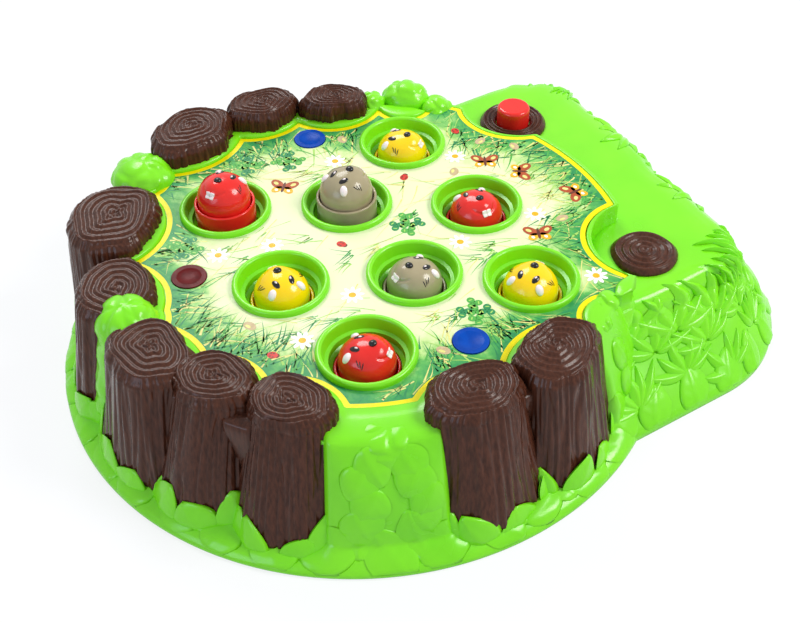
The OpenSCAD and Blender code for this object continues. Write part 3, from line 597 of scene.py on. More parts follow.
# The bark's broad folds and fine grooves, and the growth rings: depths in millimetres, and rings on a top
broad_fold, groove_depth = 1.6, 0.85
growth_h, growth_rings = 0.95, 6.2
# What a stump gains in depth and width at its foot, and what is left of its inner side below the deck
foot_deeper, foot_wider = 0.12, 0.3
cut_back, deck_span = 0.12, (40, 46)


def sprayed_brown():
    """Glossy brown lacquer over moulded bark: upright streaks of a darker and a lighter brown."""
    made, tree, shader, place = new_finish("sprayed_brown_lacquer")
    long = add_node(tree, "ShaderNodeMapping", {"Vector": place, "Scale": (1.0, 1.0, 0.12)})
    bark = add_node(tree, "ShaderNodeTexNoise", {
        "Vector": long.outputs["Vector"], "Scale": 1 / (1.1 * mm), "Detail": 3.0})
    tint = add_node(tree, "ShaderNodeValToRGB", {"Fac": bark.outputs["Fac"]})
    for stop, position, colour in zip(tint.color_ramp.elements, (0.3, 0.72), ("#3A1E14", "#563021")):
        stop.position = position
        stop.color = linear(colour)
    tree.links.new(tint.outputs["Color"], shader.inputs["Base Color"])
    bump = add_node(tree, "ShaderNodeBump", {
        "Height": bark.outputs["Fac"], "Strength": 0.5, "Distance": 0.25 * mm})
    tree.links.new(bump.outputs["Normal"], shader.inputs["Normal"])
    shader.inputs["Roughness"].default_value = 0.18
    shader.inputs["IOR"].default_value = 1.5
    shader.inputs["Specular IOR Level"].default_value = 0.2
    return made


lacquer = sprayed_brown()


def stump_place(index, grooved):
    """Where a stump's points lie: up the grooved side, over the shoulder and across the ringed top. Below the
    deck its inner side is cut back, because the drive is there."""
    angle, middle, half_w, half_d, rise = stumps[index]
    turn = Matrix.Rotation(math.radians(angle), 2)
    waves = random.Random(20 + index)
    bulges = [(n, waves.uniform(0.01, 0.04), waves.uniform(0, 6.28)) for n in (2, 3, 4, 5)]
    heart = Vector((waves.uniform(-0.12, 0.12), waves.uniform(-0.12, 0.12)))
    foot_out = foot_throw(middle, half_d)
    top_z = stump_z + rise * mm

    def bark(ring, z):
        """Depth of the bark in millimetres: broad folds with fine upright grooves on them."""
        broad = noise.noise(Vector((ring.x * 2.6, ring.y * 2.6, z / (60 * mm) + index * 7)))
        fine = abs(noise.noise(Vector((ring.x * 8.5, ring.y * 8.5, z / (45 * mm) + index * 3))))
        return broad_fold * broad - 0.5 + groove_depth * (smooth_step(0.0, 0.3, fine) - 1)

    def growth(s, a, u):
        """Height of the growth rings in millimetres at a share of the way from the heart to the edge."""
        wobble = noise.noise(Vector((math.cos(a) * 1.4, math.sin(a) * 1.4, index * 5)))
        step = (s * growth_rings + 0.7 * wobble + 0.12 * math.sin(3 * a) + u) % 1
        ridge = smooth_step(0.0, 0.35, step) * (1 - smooth_step(0.45, 1.0, step))
        return growth_h * ridge * (1 - smooth_step(0.82, 0.97, s)) * smooth_step(0.0, 0.1, s)

    def place(u, v):
        a = 2 * math.pi * u
        ring = Vector((math.cos(a), math.sin(a)))
        outline = 1 + sum(size * math.cos(n * a + lag) for n, size, lag in bulges)
        out, depth = 0.0, 0.0
        if v < 1e-6:
            spot, z, out = Vector((0.0, 0.0)), stump_foot_z, foot_out
        elif v < 0.5:
            t = v / 0.5
            z = stump_foot_z + (top_z - shoulder - stump_foot_z) * t
            inner = 1 if ring.x > 0 else cut_back + (1 - cut_back) * smooth_step(*deck_span, z / mm)
            deep = ring.x * inner * (1 + foot_deeper * (1 - t))
            spot = Vector((deep, ring.y * (1 + foot_wider * (1 - t) ** 1.6))) * outline
            depth = bark(ring, z)
            out = foot_out * (1 - t)
        else:
            t = (v - 0.5) / 0.5
            s = math.cos(t * math.pi / 2) if t < 0.5 else (1 - t) * 2 * math.cos(math.pi / 4)
            drop = 1 - math.sqrt(max(0.0, 1 - max(0.0, (s - 0.72) / 0.28) ** 2))
            spot = ring * (1 + (outline - 1) * s) * s + heart * (1 - s)
            z = top_z - shoulder * drop + growth(s, a, u) * mm - 0.5 * mm
            depth = bark(ring, top_z - shoulder) * smooth_step(0.7, 1.0, s)
        if not grooved:
            depth = 0.0
        ahead = spot.x * half_d + out + middle + ring.x * depth
        plan = field + turn @ (Vector((ahead, spot.y * half_w + ring.y * depth)) * mm)
        return Vector((plan.x, plan.y, z))

    return place


def stump_skin(index):
    """A function for points on a stump's side: degrees round it from straight out, a height and a rise."""
    place = stump_place(index, False)
    angle, rise = stumps[index][0], stumps[index][4]
    side_h = stump_z + rise * mm - shoulder - stump_foot_z

    def skin(across, up, off):
        t = min(max((up - stump_foot_z) / side_h, 0.0001), 1.0)
        spot = place(across % 360 / 360, 0.5 * t)
        return Vector((spot.x, spot.y, max(up, mm))) + step_to(angle + across).to_3d() * off

    return skin


foot_leaves = []
for index, (_, _, half_w, _, _) in enumerate(stumps):
    stump = wrapped_grid(f"stump_{index + 1}", stump_steps, stump_rows, stump_place(index, True))
    stump.data.materials.append(lacquer)
    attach(stump, "base")
    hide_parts("top_shell")
    skin = stump_skin(index)
    for k in range(6):
        across = -100 + 40 * k + rng.uniform(-9, 9)
        up = 6 + 6 * (across / 90) ** 2 + rng.uniform(-2, 2)
        leaf = grown_leaf(leaf_form, skin, across, up, rng.uniform(-38, 38), (16, 23), (15, 20), 1.7,
                          math.radians(1.2 * half_w * mm))
        leaf.data.materials.append(shell_green)
        foot_leaves.append(leaf)
join_parts(wall, foot_leaves)
for point in wall.data.vertices:
    reach = (point.co.xy - field).length
    if reach > base_r:
        point.co.xy = field + (point.co.xy - field) * (base_r / reach)
    point.co.z = max(point.co.z, 0.1 * mm)
# The lacquer also runs over the webs between stumps that stand close together, apart from the gap after the
# fifth stump, which a green mound fills
lacquer_from_z = 28 * mm
lacquer_gap = 6 * mm
sprayed_gaps = [gap for gap in close_stumps if gap[0] != stumps[4][0]]
wall.data.materials.append(lacquer)
for face in wall.data.polygons:
    spot = face.center
    if spot.z < lacquer_from_z:
        continue
    heading = rim_heading(heading_of(spot))
    between_stumps = any(near < heading < far for near, far in sprayed_gaps)
    if between_stumps and (spot.xy - field).length > panel_edge(heading) + lacquer_gap:
        face.material_index = 1

# Lobe on the player's side: part of the same green moulding, with a smooth top for the button, soft wavy
# edges and fern leaves moulded into its slopes.
lobe_half = 111.0 * mm
lobe_top_half = 82.0 * mm
lobe_front = cad_box[0][1]
lobe_lean = 14.0 * mm
lobe_corner = 58.0 * mm
brow_corner = 24.0 * mm
lobe_back = field.y - 36 * mm
brow_h = 9.0 * mm
brow_in = 12.0 * mm
rim_h = 2.8 * mm
under_in = 6 * mm
# The brow's long and short waves, the slope's swells, and how far the brow's front stands out and skews
wave_h, ripple_h, swell_h = 3.6 * mm, 1.2 * mm, 1.3 * mm
front_out, front_skew = 1.5 * mm, 0.07
# Shares of the way round the outline at which a side and a corner end
side_end, corner_end = 0.17, 0.38


def rounded_plan(half, front, corner, t):
    """A point on the lobe's outline, from its right back corner round the front to its left back corner.
    Sides, corners and front take the same shares of t at every height."""
    mirror = 1 if t < 0.5 else -1
    t = min(t, 1 - t)
    if t < side_end:
        return Vector((mirror * half, lobe_back + (front + corner - lobe_back) * t / side_end))
    if t < corner_end:
        a = (t - side_end) / (corner_end - side_end) * math.pi / 2
        x = half - corner + corner * math.cos(a)
        return Vector((mirror * x, front + corner - corner * math.sin(a)))
    return Vector((mirror * (half - corner) * (0.5 - t) / (0.5 - corner_end), front))


def lobe_section(u):
    """The lobe cut across its outline: up the slope, over the brow, in to the panel's riser and back."""
    wave = noise.noise(Vector((u * 17, 3.1, 0.4))) * wave_h
    wave += noise.noise(Vector((u * 41, 1.7, 2.2))) * ripple_h
    foot = rounded_plan(lobe_half, lobe_front, lobe_corner, u)
    brow = rounded_plan(lobe_top_half + wave, lobe_front + lobe_lean - wave, brow_corner, u)
    ahead = smooth_step(lobe_front + 70 * mm, lobe_front + 20 * mm, brow.y)
    brow.y -= ahead * (front_out + front_skew * brow.x)
    inward = (field - brow).normalized()
    inner = brow + inward * brow_in
    heading = heading_of(inner)
    riser = polar(min(panel_edge(heading) + mm, (inner - field).length), heading)
    line = [(foot.x, foot.y, 0.2 * mm), (foot.x, foot.y, rim_h)]
    for t in (0.2, 0.4, 0.6, 0.8, 1.0):
        swell = noise.noise(Vector((u * 23, t * 2.2, 5))) * swell_h * math.sin(math.pi * t)
        plan = foot.lerp(brow, t) - inward * swell
        line.append((plan.x, plan.y, rim_h + (lobe_z - brow_h - rim_h) * t))
    for a in (30, 60, 90):
        plan = brow.lerp(inner, 1 - math.cos(math.radians(a)))
        line.append((plan.x, plan.y, lobe_z - brow_h + brow_h * math.sin(math.radians(a))))
    for t in (0.33, 0.67, 1.0):
        plan = inner.lerp(riser, t)
        line.append((plan.x, plan.y, lobe_z))
    under = foot + inward * under_in
    line += [(riser.x, riser.y, lobe_z - 2.5 * mm), (under.x, under.y, 4 * mm), (under.x, under.y, 0.2 * mm),
             (foot.x, foot.y, 0.2 * mm)]
    return [Vector(p) for p in line]


lobe_steps = 300
lobe_rows = 48
lobe_sections = [lobe_section(k / lobe_steps) for k in range(lobe_steps + 1)]


def lobe_place(u, v):
    return between(lobe_sections[round(u * lobe_steps)], v)


def lobe_point(across, up):
    """A point on the lobe's outside: a share of its outline and a length up from the foot."""
    spot = min(max(across, 0.0), 0.9999) * lobe_steps
    k = int(spot)
    line = [lobe_sections[k][j].lerp(lobe_sections[k + 1][j], spot - k) for j in range(1, 13)]
    a, b, rest = stretch_at(line, up)
    return a + (b - a) * (rest / max((b - a).length, 1e-9))


def lobe_skin(across, up, rise):
    """A point on the lobe's outside: a share of its outline, a length up from the foot, and a rise off it."""
    spot = lobe_point(across, up)
    ahead = lobe_point(across + 0.002, up) - spot
    over = lobe_point(across, up + 0.5 * mm) - spot
    return spot + over.cross(ahead).normalized() * rise


def blade_place(u, v):
    """One curved fern blade, a unit long and wide, with a sharp rib along its middle."""
    s = -1 + 4 * u if u < 0.5 else 3 - 4 * u
    half = 0.5 * math.sin(math.pi * v ** 0.7) ** 0.8 if 0 < v < 1 else 0
    rise = math.sin(math.pi * v) ** 0.45 if 0 < v < 1 else 0
    z = rise * (0.2 + 0.8 * (1 - abs(s)) ** 0.9) if u < 0.5 else -0.2 * (1 - s * s)
    return Vector((s * half + 1.1 * (v - v * v), v, z - 0.08))


lobe = wrapped_grid("shell_lobe", lobe_steps, lobe_rows, lobe_place)
bpy.ops.object.mode_set(mode='EDIT')
bpy.ops.mesh.select_all(action='SELECT')
bpy.ops.mesh.fill_holes(sides=0)
bpy.ops.object.mode_set(mode='OBJECT')
turn_outwards(lobe)

blade_form = wrapped_grid("blade_form", 16, 12, blade_place)
lobe_parts = []
outline_l = 2 * (lobe_back - lobe_front - lobe_corner) + lobe_corner * math.pi + 2 * (lobe_half - lobe_corner)


def fern_blade(at, up, turn, lean, lengths, widths, height):
    """Lays a blade on the lobe that curves away from the middle of its fan, where the fan's lean points."""
    side = 1 if turn > lean else -1
    lobe_parts.append(grown_leaf(blade_form, lobe_skin, at, up, turn, lengths, [side * w for w in widths],
                                 height, outline_l))


# Fans all round the slope, larger fans on the left brow, and single leaves along the foot
for k in range(34):
    at = 0.04 + 0.92 * k / 33
    up = (8, 22, 14, 28)[k % 4] + rng.uniform(-2, 2)
    count = (6, 5, 7)[k % 3]
    lean = rng.uniform(-25, 25)
    for j in range(count):
        fern_blade(at, up, lean - 70 + 140 * j / (count - 1), lean, (15, 22), (4.6, 6.2), 1.7)
for k in range(7):
    at = 0.7 + 0.27 * k / 6
    lean = rng.uniform(-30, 30)
    for j in range(5):
        fern_blade(at, rng.uniform(30, 34), lean - 64 + 32 * j, lean, (20, 26), (6, 8), 2.4)
for k in range(22):
    at = 0.04 + 0.92 * k / 21 + rng.uniform(-0.008, 0.008)
    lobe_parts.append(grown_leaf(leaf_form, lobe_skin, at, 7, rng.uniform(-70, 70), (18, 24), (13, 17), 1.9,
                                 outline_l))
join_parts(lobe, lobe_parts)
for form in (leaf_form, blade_form):
    bpy.data.objects.remove(form)
turn_outwards(lobe)
lobe.select_set(False)
for point in lobe.data.vertices:
    point.co.x = min(max(point.co.x, -lobe_half), lobe_half)
    point.co.y = max(point.co.y, lobe_front)
    point.co.z = max(point.co.z, 0.1 * mm)
lobe.data.materials.append(shell_green)
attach(lobe, "base")
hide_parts("top_shell")

# Ring round the button and disc on the lobe, both like cut wood: moulded with the lobe and sprayed the same
# brown as the stumps.
ring_r = 15.5 * mm
ring_bore = 8.0 * mm
disc_at = play + Vector((-57.0, -94.0)) * mm
disc_r = 14.0 * mm
sunk_z = lobe_z - 1 * mm
turned_steps = 128


def turned_place(centre, section, seed, rough):
    """Points of a turned form with a section of radius and height, a little out of round like cut wood."""
    def place(u, v):
        a = 2 * math.pi * u
        r, z = between(section, v)
        ring = Vector((math.cos(a), math.sin(a)))
        bend = 1 + rough * noise.noise(Vector((ring.x * 1.6, ring.y * 1.6, seed)))
        plan = centre + ring * r * bend
        return Vector((plan.x, plan.y, z))
    return place


def ridged_top(inner, outer, low, crown, count):
    """A top of stepped growth rings from an outer edge to an inner one."""
    points = []
    steps = count * 8
    for k in range(steps + 1):
        t = k / steps
        step = t * count % 1
        ridge = smooth_step(0.0, 0.3, step) * (1 - smooth_step(0.45, 1.0, step))
        points.append((outer + (inner - outer) * t, low + crown * t + 0.8 * mm * ridge))
    return points


ring_section = ([(ring_bore, sunk_z), (ring_r, sunk_z), (ring_r, lobe_z + 1.2 * mm)]
                + ridged_top(ring_bore + 0.8 * mm, ring_r - 0.9 * mm, lobe_z + 2.2 * mm, 0.3 * mm, 3)
                + [(ring_bore, lobe_z + 1.6 * mm), (ring_bore, sunk_z)])
button_ring = wrapped_grid("button_ring", turned_steps, 62, turned_place(button_at, ring_section, 3, 0.0))
disc_section = ([(0, sunk_z), (disc_r - 0.4 * mm, sunk_z), (disc_r, lobe_z + 0.8 * mm)]
                + ridged_top(0.0, disc_r - 1.0 * mm, lobe_z + 2.0 * mm, 0.6 * mm, 4))
wood_disc = wrapped_grid("wood_disc", turned_steps, 86, turned_place(disc_at, disc_section, 8, 0.05))
for piece in (button_ring, wood_disc):
    piece.data.materials.append(lacquer)
    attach(piece, "base")
    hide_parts("top_shell")

# Deck with its round collars: the green plate under the printed sheet, moulded of the same plastic as the
# shell and held below its ledge.
paint_nodes(shell_green, "deck_plate")

# Printed panel: a plastic sheet with a yellow border and a meadow print under a clear film, pierced for the
# collars and the lenses.
border = 2.2 * mm
sheet_h = 0.5 * mm
collar_r = 19.4 * mm
collar_lap = 0.4 * mm
lens_r = 7.0 * mm
lens_gap = 0.25 * mm
lens_nodes = ("lens_red", "lens_blue_right", "lens_blue_left")


def middle_of(node):
    """The middle of a node's box on the plan."""
    low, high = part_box(node)
    return Vector(((low[0] + high[0]) / 2, (low[1] + high[1]) / 2))


holes = [middle_of(f"mole_cup_{k}") for k in numbers]
lenses = [middle_of(node) for node in lens_nodes]


def lay_film(tree, shader, colour):
    """Ink below a clear film: the colour in a satin sheet with a thin gloss on top."""
    tree.links.new(colour, shader.inputs["Base Color"])
    shader.inputs["Roughness"].default_value = 0.4
    shader.inputs["Specular IOR Level"].default_value = 0.15
    shader.inputs["Coat Weight"].default_value = 0.08
    shader.inputs["Coat Roughness"].default_value = 0.12


def printed_sheet():
    """A pale middle that turns to grass green towards the rim in ragged brush strokes."""
    made, tree, shader, place = new_finish("printed_polystyrene_sheet")
    green_depth = 30.0
    rim = add_node(tree, "ShaderNodeAttribute", attribute_name="rim_distance").outputs["Fac"]
    strokes = add_node(tree, "ShaderNodeTexNoise", {
        "Vector": place, "Scale": 1 / (9 * mm), "Detail": 5.0, "Roughness": 0.62})
    ragged = add_node(tree, "ShaderNodeMath", {
        0: strokes.outputs["Fac"], 1: green_depth, 2: -green_depth / 2}, operation='MULTIPLY_ADD')
    depth = add_node(tree, "ShaderNodeMath", {0: rim, 1: ragged.outputs[0]}, operation='ADD')
    depth = add_node(tree, "ShaderNodeMath", {0: depth.outputs[0], 1: green_depth}, operation='DIVIDE')
    tint = add_node(tree, "ShaderNodeValToRGB", {"Fac": depth.outputs[0]})
    ramp = tint.color_ramp.elements
    for stop, position, colour in zip(ramp, (0.12, 0.88), ("#2F9150", "#E2E9BC")):
        stop.position = position
        stop.color = linear(colour)
    for position, colour in ((0.3, "#5BAE55"), (0.46, "#96CC72"), (0.62, "#CDE09C")):
        ramp.new(position).color = linear(colour)
    lay_film(tree, shader, tint.outputs["Color"])
    return made


def ink(name, tone, shade):
    """Offset ink: two close tones in the mottle of a halftone, drawn coarse enough to show."""
    made, tree, shader, place = new_finish(name)
    mottle = add_node(tree, "ShaderNodeTexNoise", {"Vector": place, "Scale": 1 / (1.5 * mm), "Detail": 2.0})
    tint = add_node(tree, "ShaderNodeValToRGB", {"Fac": mottle.outputs["Fac"]})
    for stop, position, colour in zip(tint.color_ramp.elements, (0.35, 0.65), (shade, tone)):
        stop.position = position
        stop.color = linear(colour)
    lay_film(tree, shader, tint.outputs["Color"])
    return made


# Rows of the panel's mesh: inset from its edge in millimetres, or below zero for the middle, and 1 for the
# top. Rows further in than the true inset shrink towards the middle.
panel_rows = ((-1, 0), (0, 0), (0, 1), (2.2, 1), (2.3, 1), (6, 1), (10, 1), (15, 1), (22, 1), (30, 1),
              (45, 1), (60, 1), (-1, 1))
true_inset, shrink_length = 6.0, 80
panel_steps = 900
hole_steps = 96


def panel_place(u, v):
    inset, top = panel_rows[round(v * (len(panel_rows) - 1))]
    z = panel_top - sheet_h * (1 - top)
    if inset < 0:
        return Vector((field.x, field.y, z))
    reach = panel_edge(360 * u, min(inset, true_inset) * mm)
    plan = polar(reach * (1 - max(inset - true_inset, 0) / shrink_length), 360 * u)
    return Vector((plan.x, plan.y, z))


panel = wrapped_grid("printed_panel", panel_steps, len(panel_rows) - 1, panel_place)
panel.data.materials.append(printed_sheet())
panel.data.materials.append(ink("yellow_border_ink", "#F4E400", "#EEDA00"))
for face in panel.data.polygons:
    spot = face.center.xy
    if (spot - field).length > panel_edge(heading_of(spot), border):
        face.material_index = 1
cutters = []
for centre, radius in [(h, collar_r - collar_lap) for h in holes] + [(c, lens_r + lens_gap) for c in lenses]:
    bpy.ops.mesh.primitive_cylinder_add(vertices=hole_steps, radius=radius, depth=4 * mm,
                                        location=(centre.x, centre.y, panel_top))
    bpy.ops.object.transform_apply(location=True, rotation=True, scale=True)
    cutters.append(bpy.context.object)
join_parts(cutters[0], cutters[1:])
cut = panel.modifiers.new("openings", 'BOOLEAN')
cut.object = cutters[0]
cut.operation = 'DIFFERENCE'
cut.solver = 'EXACT'
bpy.context.view_layer.objects.active = panel
bpy.ops.object.modifier_apply(modifier="openings")
bpy.data.objects.remove(cutters[0])
rim_distance = panel.data.attributes.new("rim_distance", 'FLOAT', 'POINT')
for point in panel.data.vertices:
    spot = point.co.xy
    rim_distance.data[point.index].value = (panel_edge(heading_of(spot)) - (spot - field).length) / mm
panel.select_set(True)
bpy.ops.object.shade_flat()
panel.select_set(False)
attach(panel, "base")
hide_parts("play_panel")

# Meadow print on the panel: grass, clover, daisies, butterflies, ladybirds and pebbles, printed in flat inks
# one over the other.
inks = {
    "deep": ink("deep_green_ink", "#2F8E54", "#2A8350"), "leaf": ink("leaf_green_ink", "#57AE4C", "#4DA446"),
    "lime": ink("lime_green_ink", "#A8D56A", "#9CCB5E"), "straw": ink("straw_ink", "#E3E08E", "#D9D47C"),
    "white": ink("white_ink", "#FFFFFF", "#F6F6F0"), "gold": ink("gold_ink", "#F5B92B", "#EBAA1C"),
    "rust": ink("rust_ink", "#B4552F", "#A64A28"), "brown": ink("brown_ink", "#6B3424", "#5C2B1D"),
    "stone": ink("stone_ink", "#C9B38C", "#BBA47C"), "red": ink("red_ink", "#D8362C", "#C92B24")}
ink_names = list(inks)
ink_points, ink_faces, ink_indices = [], [], []
first_ink, ink_step = 0.02, 0.012


def lay_ink(outline, colour, layer):
    """One flat patch of ink with an outline of points, on a layer a hair above the sheet."""
    start = len(ink_points)
    ink_points.extend((p.x, p.y, panel_top + (first_ink + ink_step * layer) * mm) for p in outline)
    ink_faces.append(list(range(start, start + len(outline))))
    ink_indices.append(ink_names.index(colour))


def clear_of(spot, room):
    """Whether a spot on the sheet keeps a room from border, collars and lenses."""
    if (spot - field).length > panel_edge(heading_of(spot), border + room):
        return False
    return (all((spot - h).length > collar_r + room for h in holes)
            and all((spot - c).length > lens_r + room for c in lenses))


def grass_blade(root, degrees, length, width, bend, colour, layer):
    """A curved blade of grass that tapers to a point. One that would leave the print isn't laid."""
    left, right, spot = [], [], root.copy()
    steps = 4
    for k in range(steps + 1):
        ahead = step_to(degrees + bend * k / steps)
        side = Vector((-ahead.y, ahead.x)) * width / 2 * (1 - k / steps) * mm
        if not clear_of(spot, 0.3 * mm):
            return
        left.append(spot + side)
        right.append(spot - side)
        spot = spot + ahead * length / steps * mm
    lay_ink(right + left[-2::-1], colour, layer)


def oval(centre, long, wide, degrees, count=14):
    """Points of an oval turned by an angle."""
    c, s = math.cos(math.radians(degrees)), math.sin(math.radians(degrees))
    angles = [2 * math.pi * k / count for k in range(count)]
    ring = [(long * math.cos(a), wide * math.sin(a)) for a in angles]
    return [centre + Vector((x * c - y * s, x * s + y * c)) * mm for x, y in ring]


def spoke(centre, distance, degrees):
    """A point at millimetres from a centre in a direction."""
    return centre + step_to(degrees) * distance * mm


def daisy(centre, turn):
    for k in range(9):
        lay_ink(oval(spoke(centre, 2.9, turn + 40 * k), 2.0, 0.85, turn + 40 * k), "white", 5)
    lay_ink(oval(centre, 1.5, 1.5, 0), "gold", 6)


def clover(centre, turn):
    for k in range(5):
        stem = spoke(centre, 4.6 * (k > 0), turn + 90 * k)
        for j in range(3):
            heading = turn + 37 * k + 120 * j
            lay_ink(oval(spoke(stem, 1.8, heading), 1.75, 1.6, heading), "deep" if k % 2 else "leaf", 3)
            lay_ink(oval(spoke(stem, 2.0, heading), 0.3, 0.9, heading), "lime", 4)


def butterfly(centre, turn):
    for side in (-1, 1):
        lay_ink(oval(spoke(centre, 3.6, turn + side * 58), 3.7, 2.3, turn + side * 48), "rust", 5)
        lay_ink(oval(spoke(centre, 3.0, turn + side * 126), 2.7, 1.9, turn + side * 135), "gold", 5)
        lay_ink(oval(spoke(centre, 4.5, turn + side * 58), 1.4, 0.9, turn + side * 48), "straw", 6)
        lay_ink(oval(spoke(centre, 3.4, turn + side * 128), 0.9, 0.7, 0), "white", 6)
    lay_ink(oval(centre, 3.6, 0.7, turn), "brown", 7)


def pebble(centre, turn):
    lay_ink(oval(centre, 2.9, 2.0, turn), "stone", 3)
    lay_ink(oval(spoke(centre, 0.7, turn + 60), 1.4, 0.7, turn), "straw", 4)


def ladybird(centre, turn):
    lay_ink(oval(spoke(centre, 1.7, turn), 1.1, 1.2, turn), "brown", 4)
    lay_ink(oval(centre, 2.1, 1.8, turn), "red", 5)
    for side in (-1, 1):
        lay_ink(oval(spoke(centre, 1.0, turn + 70 * side), 0.4, 0.4, 0), "brown", 6)
        lay_ink(oval(spoke(centre, 1.1, turn + 130 * side), 0.4, 0.4, 0), "brown", 6)


meadow = random.Random(11)


def anywhere():
    """A point drawn at random over the round field."""
    return polar(cusp_r * math.sqrt(meadow.random()), meadow.uniform(0, 360))


# Grass along the rim, tufts over the field, long loose blades, then the motifs in the room that is left
for k in range(1500):
    degrees = meadow.uniform(0, 360)
    inset = 2.6 + 14 * meadow.random() ** 2
    root = polar(panel_edge(degrees, inset * mm), degrees)
    colour = meadow.choice(("deep", "deep", "leaf", "leaf", "lime", "straw"))
    grass_blade(root, degrees + 180 + meadow.uniform(-48, 48), meadow.uniform(6, 15),
                meadow.uniform(0.5, 1.1), meadow.uniform(-35, 35), colour, 1 + k % 2)
for k in range(120):
    middle = anywhere()
    colours = meadow.choice((("leaf", "lime"), ("lime", "straw"), ("deep", "leaf")))
    for j in range(7):
        root = middle + Vector((meadow.uniform(-2, 2), meadow.uniform(-1, 1))) * mm
        grass_blade(root, 90 + meadow.uniform(-42, 42), meadow.uniform(6, 13), meadow.uniform(0.4, 0.8),
                    meadow.uniform(-25, 25), colours[j % 2], 1 + j % 2)
for k in range(700):
    grass_blade(anywhere(), meadow.choice((60, 95, 130)) + meadow.uniform(-25, 25), meadow.uniform(9, 24),
                meadow.uniform(0.35, 0.7), meadow.uniform(-30, 30),
                meadow.choice(("straw", "straw", "lime")), 1 + k % 2)
# Each motif with the room round it in millimetres and how many there are
motifs = ((butterfly, 7.5, 5), (clover, 8.0, 5), (daisy, 5.2, 9), (ladybird, 3.6, 4), (pebble, 3.4, 7))
most_tries = 4000
placed = []
for draw, room, count in motifs:
    tries = 0
    while count and tries < most_tries:
        tries += 1
        spot = anywhere()
        if clear_of(spot, room * mm) and all((spot - p).length > (room + r) * mm for p, r in placed):
            placed.append((spot, room))
            draw(spot, meadow.uniform(0, 360))
            count -= 1
print_mesh = bpy.data.meshes.new("meadow_print")
print_mesh.from_pydata(ink_points, [], ink_faces)
for name in ink_names:
    print_mesh.materials.append(inks[name])
print_mesh.polygons.foreach_set("material_index", ink_indices)
meadow_print = bpy.data.objects.new("meadow_print", print_mesh)
scene.collection.objects.link(meadow_print)
for face in print_mesh.polygons:
    if face.normal.z < 0:
        face.flip()
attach(meadow_print, "base")
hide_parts("play_panel")

# Lenses over the lamps: dished buttons of clear tinted polystyrene, polished, that sit in holes of the deck
# and show through the sheet.
lens_red = moulded_plastic("clear_dark_red_polystyrene", "#6A1618", "#521012", 0.3, 5, 1.5, 0.01)
lens_blue = moulded_plastic("clear_blue_polystyrene", "#0A4AB0", "#063C98", 0.3, 5, 1.5, 0.01)
for tinted in (lens_red, lens_blue):
    tinted.node_tree.nodes["Principled BSDF"].inputs["Specular IOR Level"].default_value = 0.06
paint_nodes(lens_red, "lens_red")
paint_nodes(lens_blue, "lens_blue_right", "lens_blue_left")

# Moles: cups with a rounded rim that the cam raises, and domed heads on springs in them. The heads have a
# raised muzzle and a smile moulded in, and eyes, nose, ears, whiskers and teeth padded on in thick ink.
head_r = 11.1 * mm
head_h = 12.0 * mm
side_h = 0.2 * head_h
head_drop = 9.0 * mm
dome_r = 10.4 * mm
# Where each mole's chin points on the plan, in degrees
facing = (119, -5, -135, -80, 88, -140, 175, -60)
mole_red = moulded_plastic("red_abs", "#EA2820", "#DC1F1A", 0.16, 9, 1.8, 0.03)
mole_yellow = moulded_plastic("yellow_abs", "#FFD80E", "#FAC904", 0.16, 9, 1.8, 0.03)
mole_grey = moulded_plastic("warm_grey_abs", "#A99D7E", "#9E9273", 0.18, 9, 1.8, 0.03)
pad_black = moulded_plastic("black_pad_ink", "#17161A", "#0E0D10", 0.12, 4, 1.2, 0.01)
pad_white = moulded_plastic("pinkish_white_pad_ink", "#FBEFF0", "#F4E2E4", 0.2, 4, 1.2, 0.01)
coats = {"mole_red": mole_red, "mole_yellow": mole_yellow, "mole_grey": mole_grey}
mole_slots = ("mole_red", "mole_yellow", "mole_red", "mole_grey", "mole_grey", "mole_yellow", "mole_red",
              "mole_yellow")
# Shares of the way up a head at which its flat bottom and its straight side end
bottom_end, straight_end = 0.1, 0.25


def face_relief(chin, aside):
    """Height of the moulded face over the dome, at lengths from its top towards the chin and to the side."""
    muzzle = 0.9 * math.exp(-((chin / mm - 5.4) / 3.4) ** 2 - (aside / mm / 4.0) ** 2)
    ring = math.hypot(chin / mm - 4.4, aside / mm)
    smile = -0.4 * math.exp(-((ring - 5.2) / 0.5) ** 2) * smooth_step(4.6, 6.2, chin / mm)
    return (muzzle + smile) * mm


def head_skin(aside, chin, rise):
    """A point on a head about its own axis, with the chin along X."""
    far = math.hypot(aside, chin)
    lean = min(far / dome_r, math.pi / 2)
    ahead = Vector((chin, aside)) / far if far > 0 else Vector((1, 0))
    flat, up = math.sin(lean), math.cos(lean)
    spot = Vector((ahead.x * flat * head_r, ahead.y * flat * head_r, side_h + (head_h - side_h) * up))
    out = Vector((ahead.x * flat / head_r, ahead.y * flat / head_r, up / (head_h - side_h))).normalized()
    return spot + out * (rise + face_relief(chin, aside))


def head_place(u, v):
    """Points of a head, from the middle of its bottom up the side and over the dome."""
    a = 2 * math.pi * u
    if v <= straight_end:
        r = head_r * min(v / bottom_end, 1.0)
        t = max(v - bottom_end, 0.0) / (straight_end - bottom_end)
        return Vector((r * math.cos(a), r * math.sin(a), -head_drop + (side_h + head_drop) * t))
    far = dome_r * math.pi / 2 * (1 - (v - straight_end) / (1 - straight_end))
    return head_skin(far * math.sin(a), far * math.cos(a), 0)


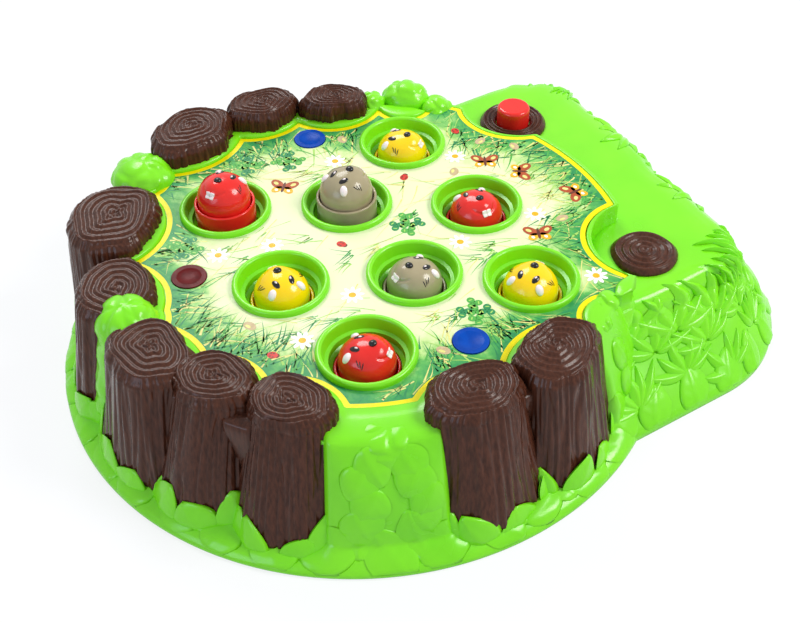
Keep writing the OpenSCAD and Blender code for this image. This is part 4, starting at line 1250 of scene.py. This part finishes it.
def pad_place(power):
    """A low pad a unit wide: round and domed for a power of 2, square and flat for more."""
    flat = 2 / power
    under = 0.25
    sunk = 0.6

    def place(u, v):
        a = 2 * math.pi * u
        reach = 0.5 / (abs(math.cos(a)) ** power + abs(math.sin(a)) ** power) ** (1 / power)
        if v <= under:
            return Vector((reach * v / under * math.cos(a), reach * v / under * math.sin(a), -sunk))
        t = (v - under) / (1 - under) * math.pi / 2
        wide = max(math.cos(t), 0.0) ** flat
        return Vector((reach * wide * math.cos(a), reach * wide * math.sin(a), math.sin(t) ** flat))
    return place


head_form = wrapped_grid("head_form", 120, 72, head_place)
round_pad = wrapped_grid("round_pad", 24, 8, pad_place(2))
square_pad = wrapped_grid("square_pad", 48, 12, pad_place(8))


def face_pad(form, chin, aside, roll, length, width, height, material):
    """A pad of ink on the head at millimetres from its top."""
    pad = lay_form(form, head_skin, aside * mm, chin * mm, roll, length * mm, width * mm, height * mm, 1)
    pad.data.materials.append(material)
    return pad


for k, slot in enumerate(mole_slots):
    head = copy_form(head_form)
    head.name = f"mole_face_{k + 1}"
    head.data.materials.append(coats[slot])
    # Nose, then on each side the eye, its glint, the ear, three whiskers and a tooth
    parts = [face_pad(round_pad, 2.2, 0, 0, 2.8, 3.2, 1.1, pad_black)]
    for side in (-1, 1):
        parts.append(face_pad(round_pad, -3.6, 3.2 * side, 14 * side, 4.2, 2.3, 0.4, pad_black))
        parts.append(face_pad(round_pad, -3.0, 2.9 * side, 14 * side, 1.5, 0.9, 0.62, pad_white))
        parts.append(face_pad(round_pad, -6.6, 6.6 * side, 40 * side, 3.4, 4.8, 1.0, pad_white))
        for stroke in (-1, 0, 1):
            parts.append(face_pad(round_pad, -0.4 + 1.1 * stroke, (9.2 + 0.4 * stroke) * side,
                                  side * (78 + 16 * stroke), 3.0, 0.45, 0.18, pad_black))
        parts.append(face_pad(square_pad, 9.4, 1.05 * side, 0, 2.8, 1.95, 0.4, pad_white))
    join_parts(head, parts)
    cup_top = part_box(f"mole_cup_{k + 1}")[1][2]
    head.data.transform(Matrix.Translation((holes[k].x, holes[k].y, cup_top))
                        @ Matrix.Rotation(math.radians(facing[k]), 4, 'Z'))
    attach(head, f"head_{k + 1}")
    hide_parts(f"mole_head_{k + 1}")
    paint_nodes(coats[slot], f"mole_cup_{k + 1}")
for form in (head_form, round_pad, square_pad):
    bpy.data.objects.remove(form)

# Start button: a red cap moulded of the same plastic as the red moles, which a spring holds up in its brown
# ring.
paint_nodes(mole_red, "start_button")
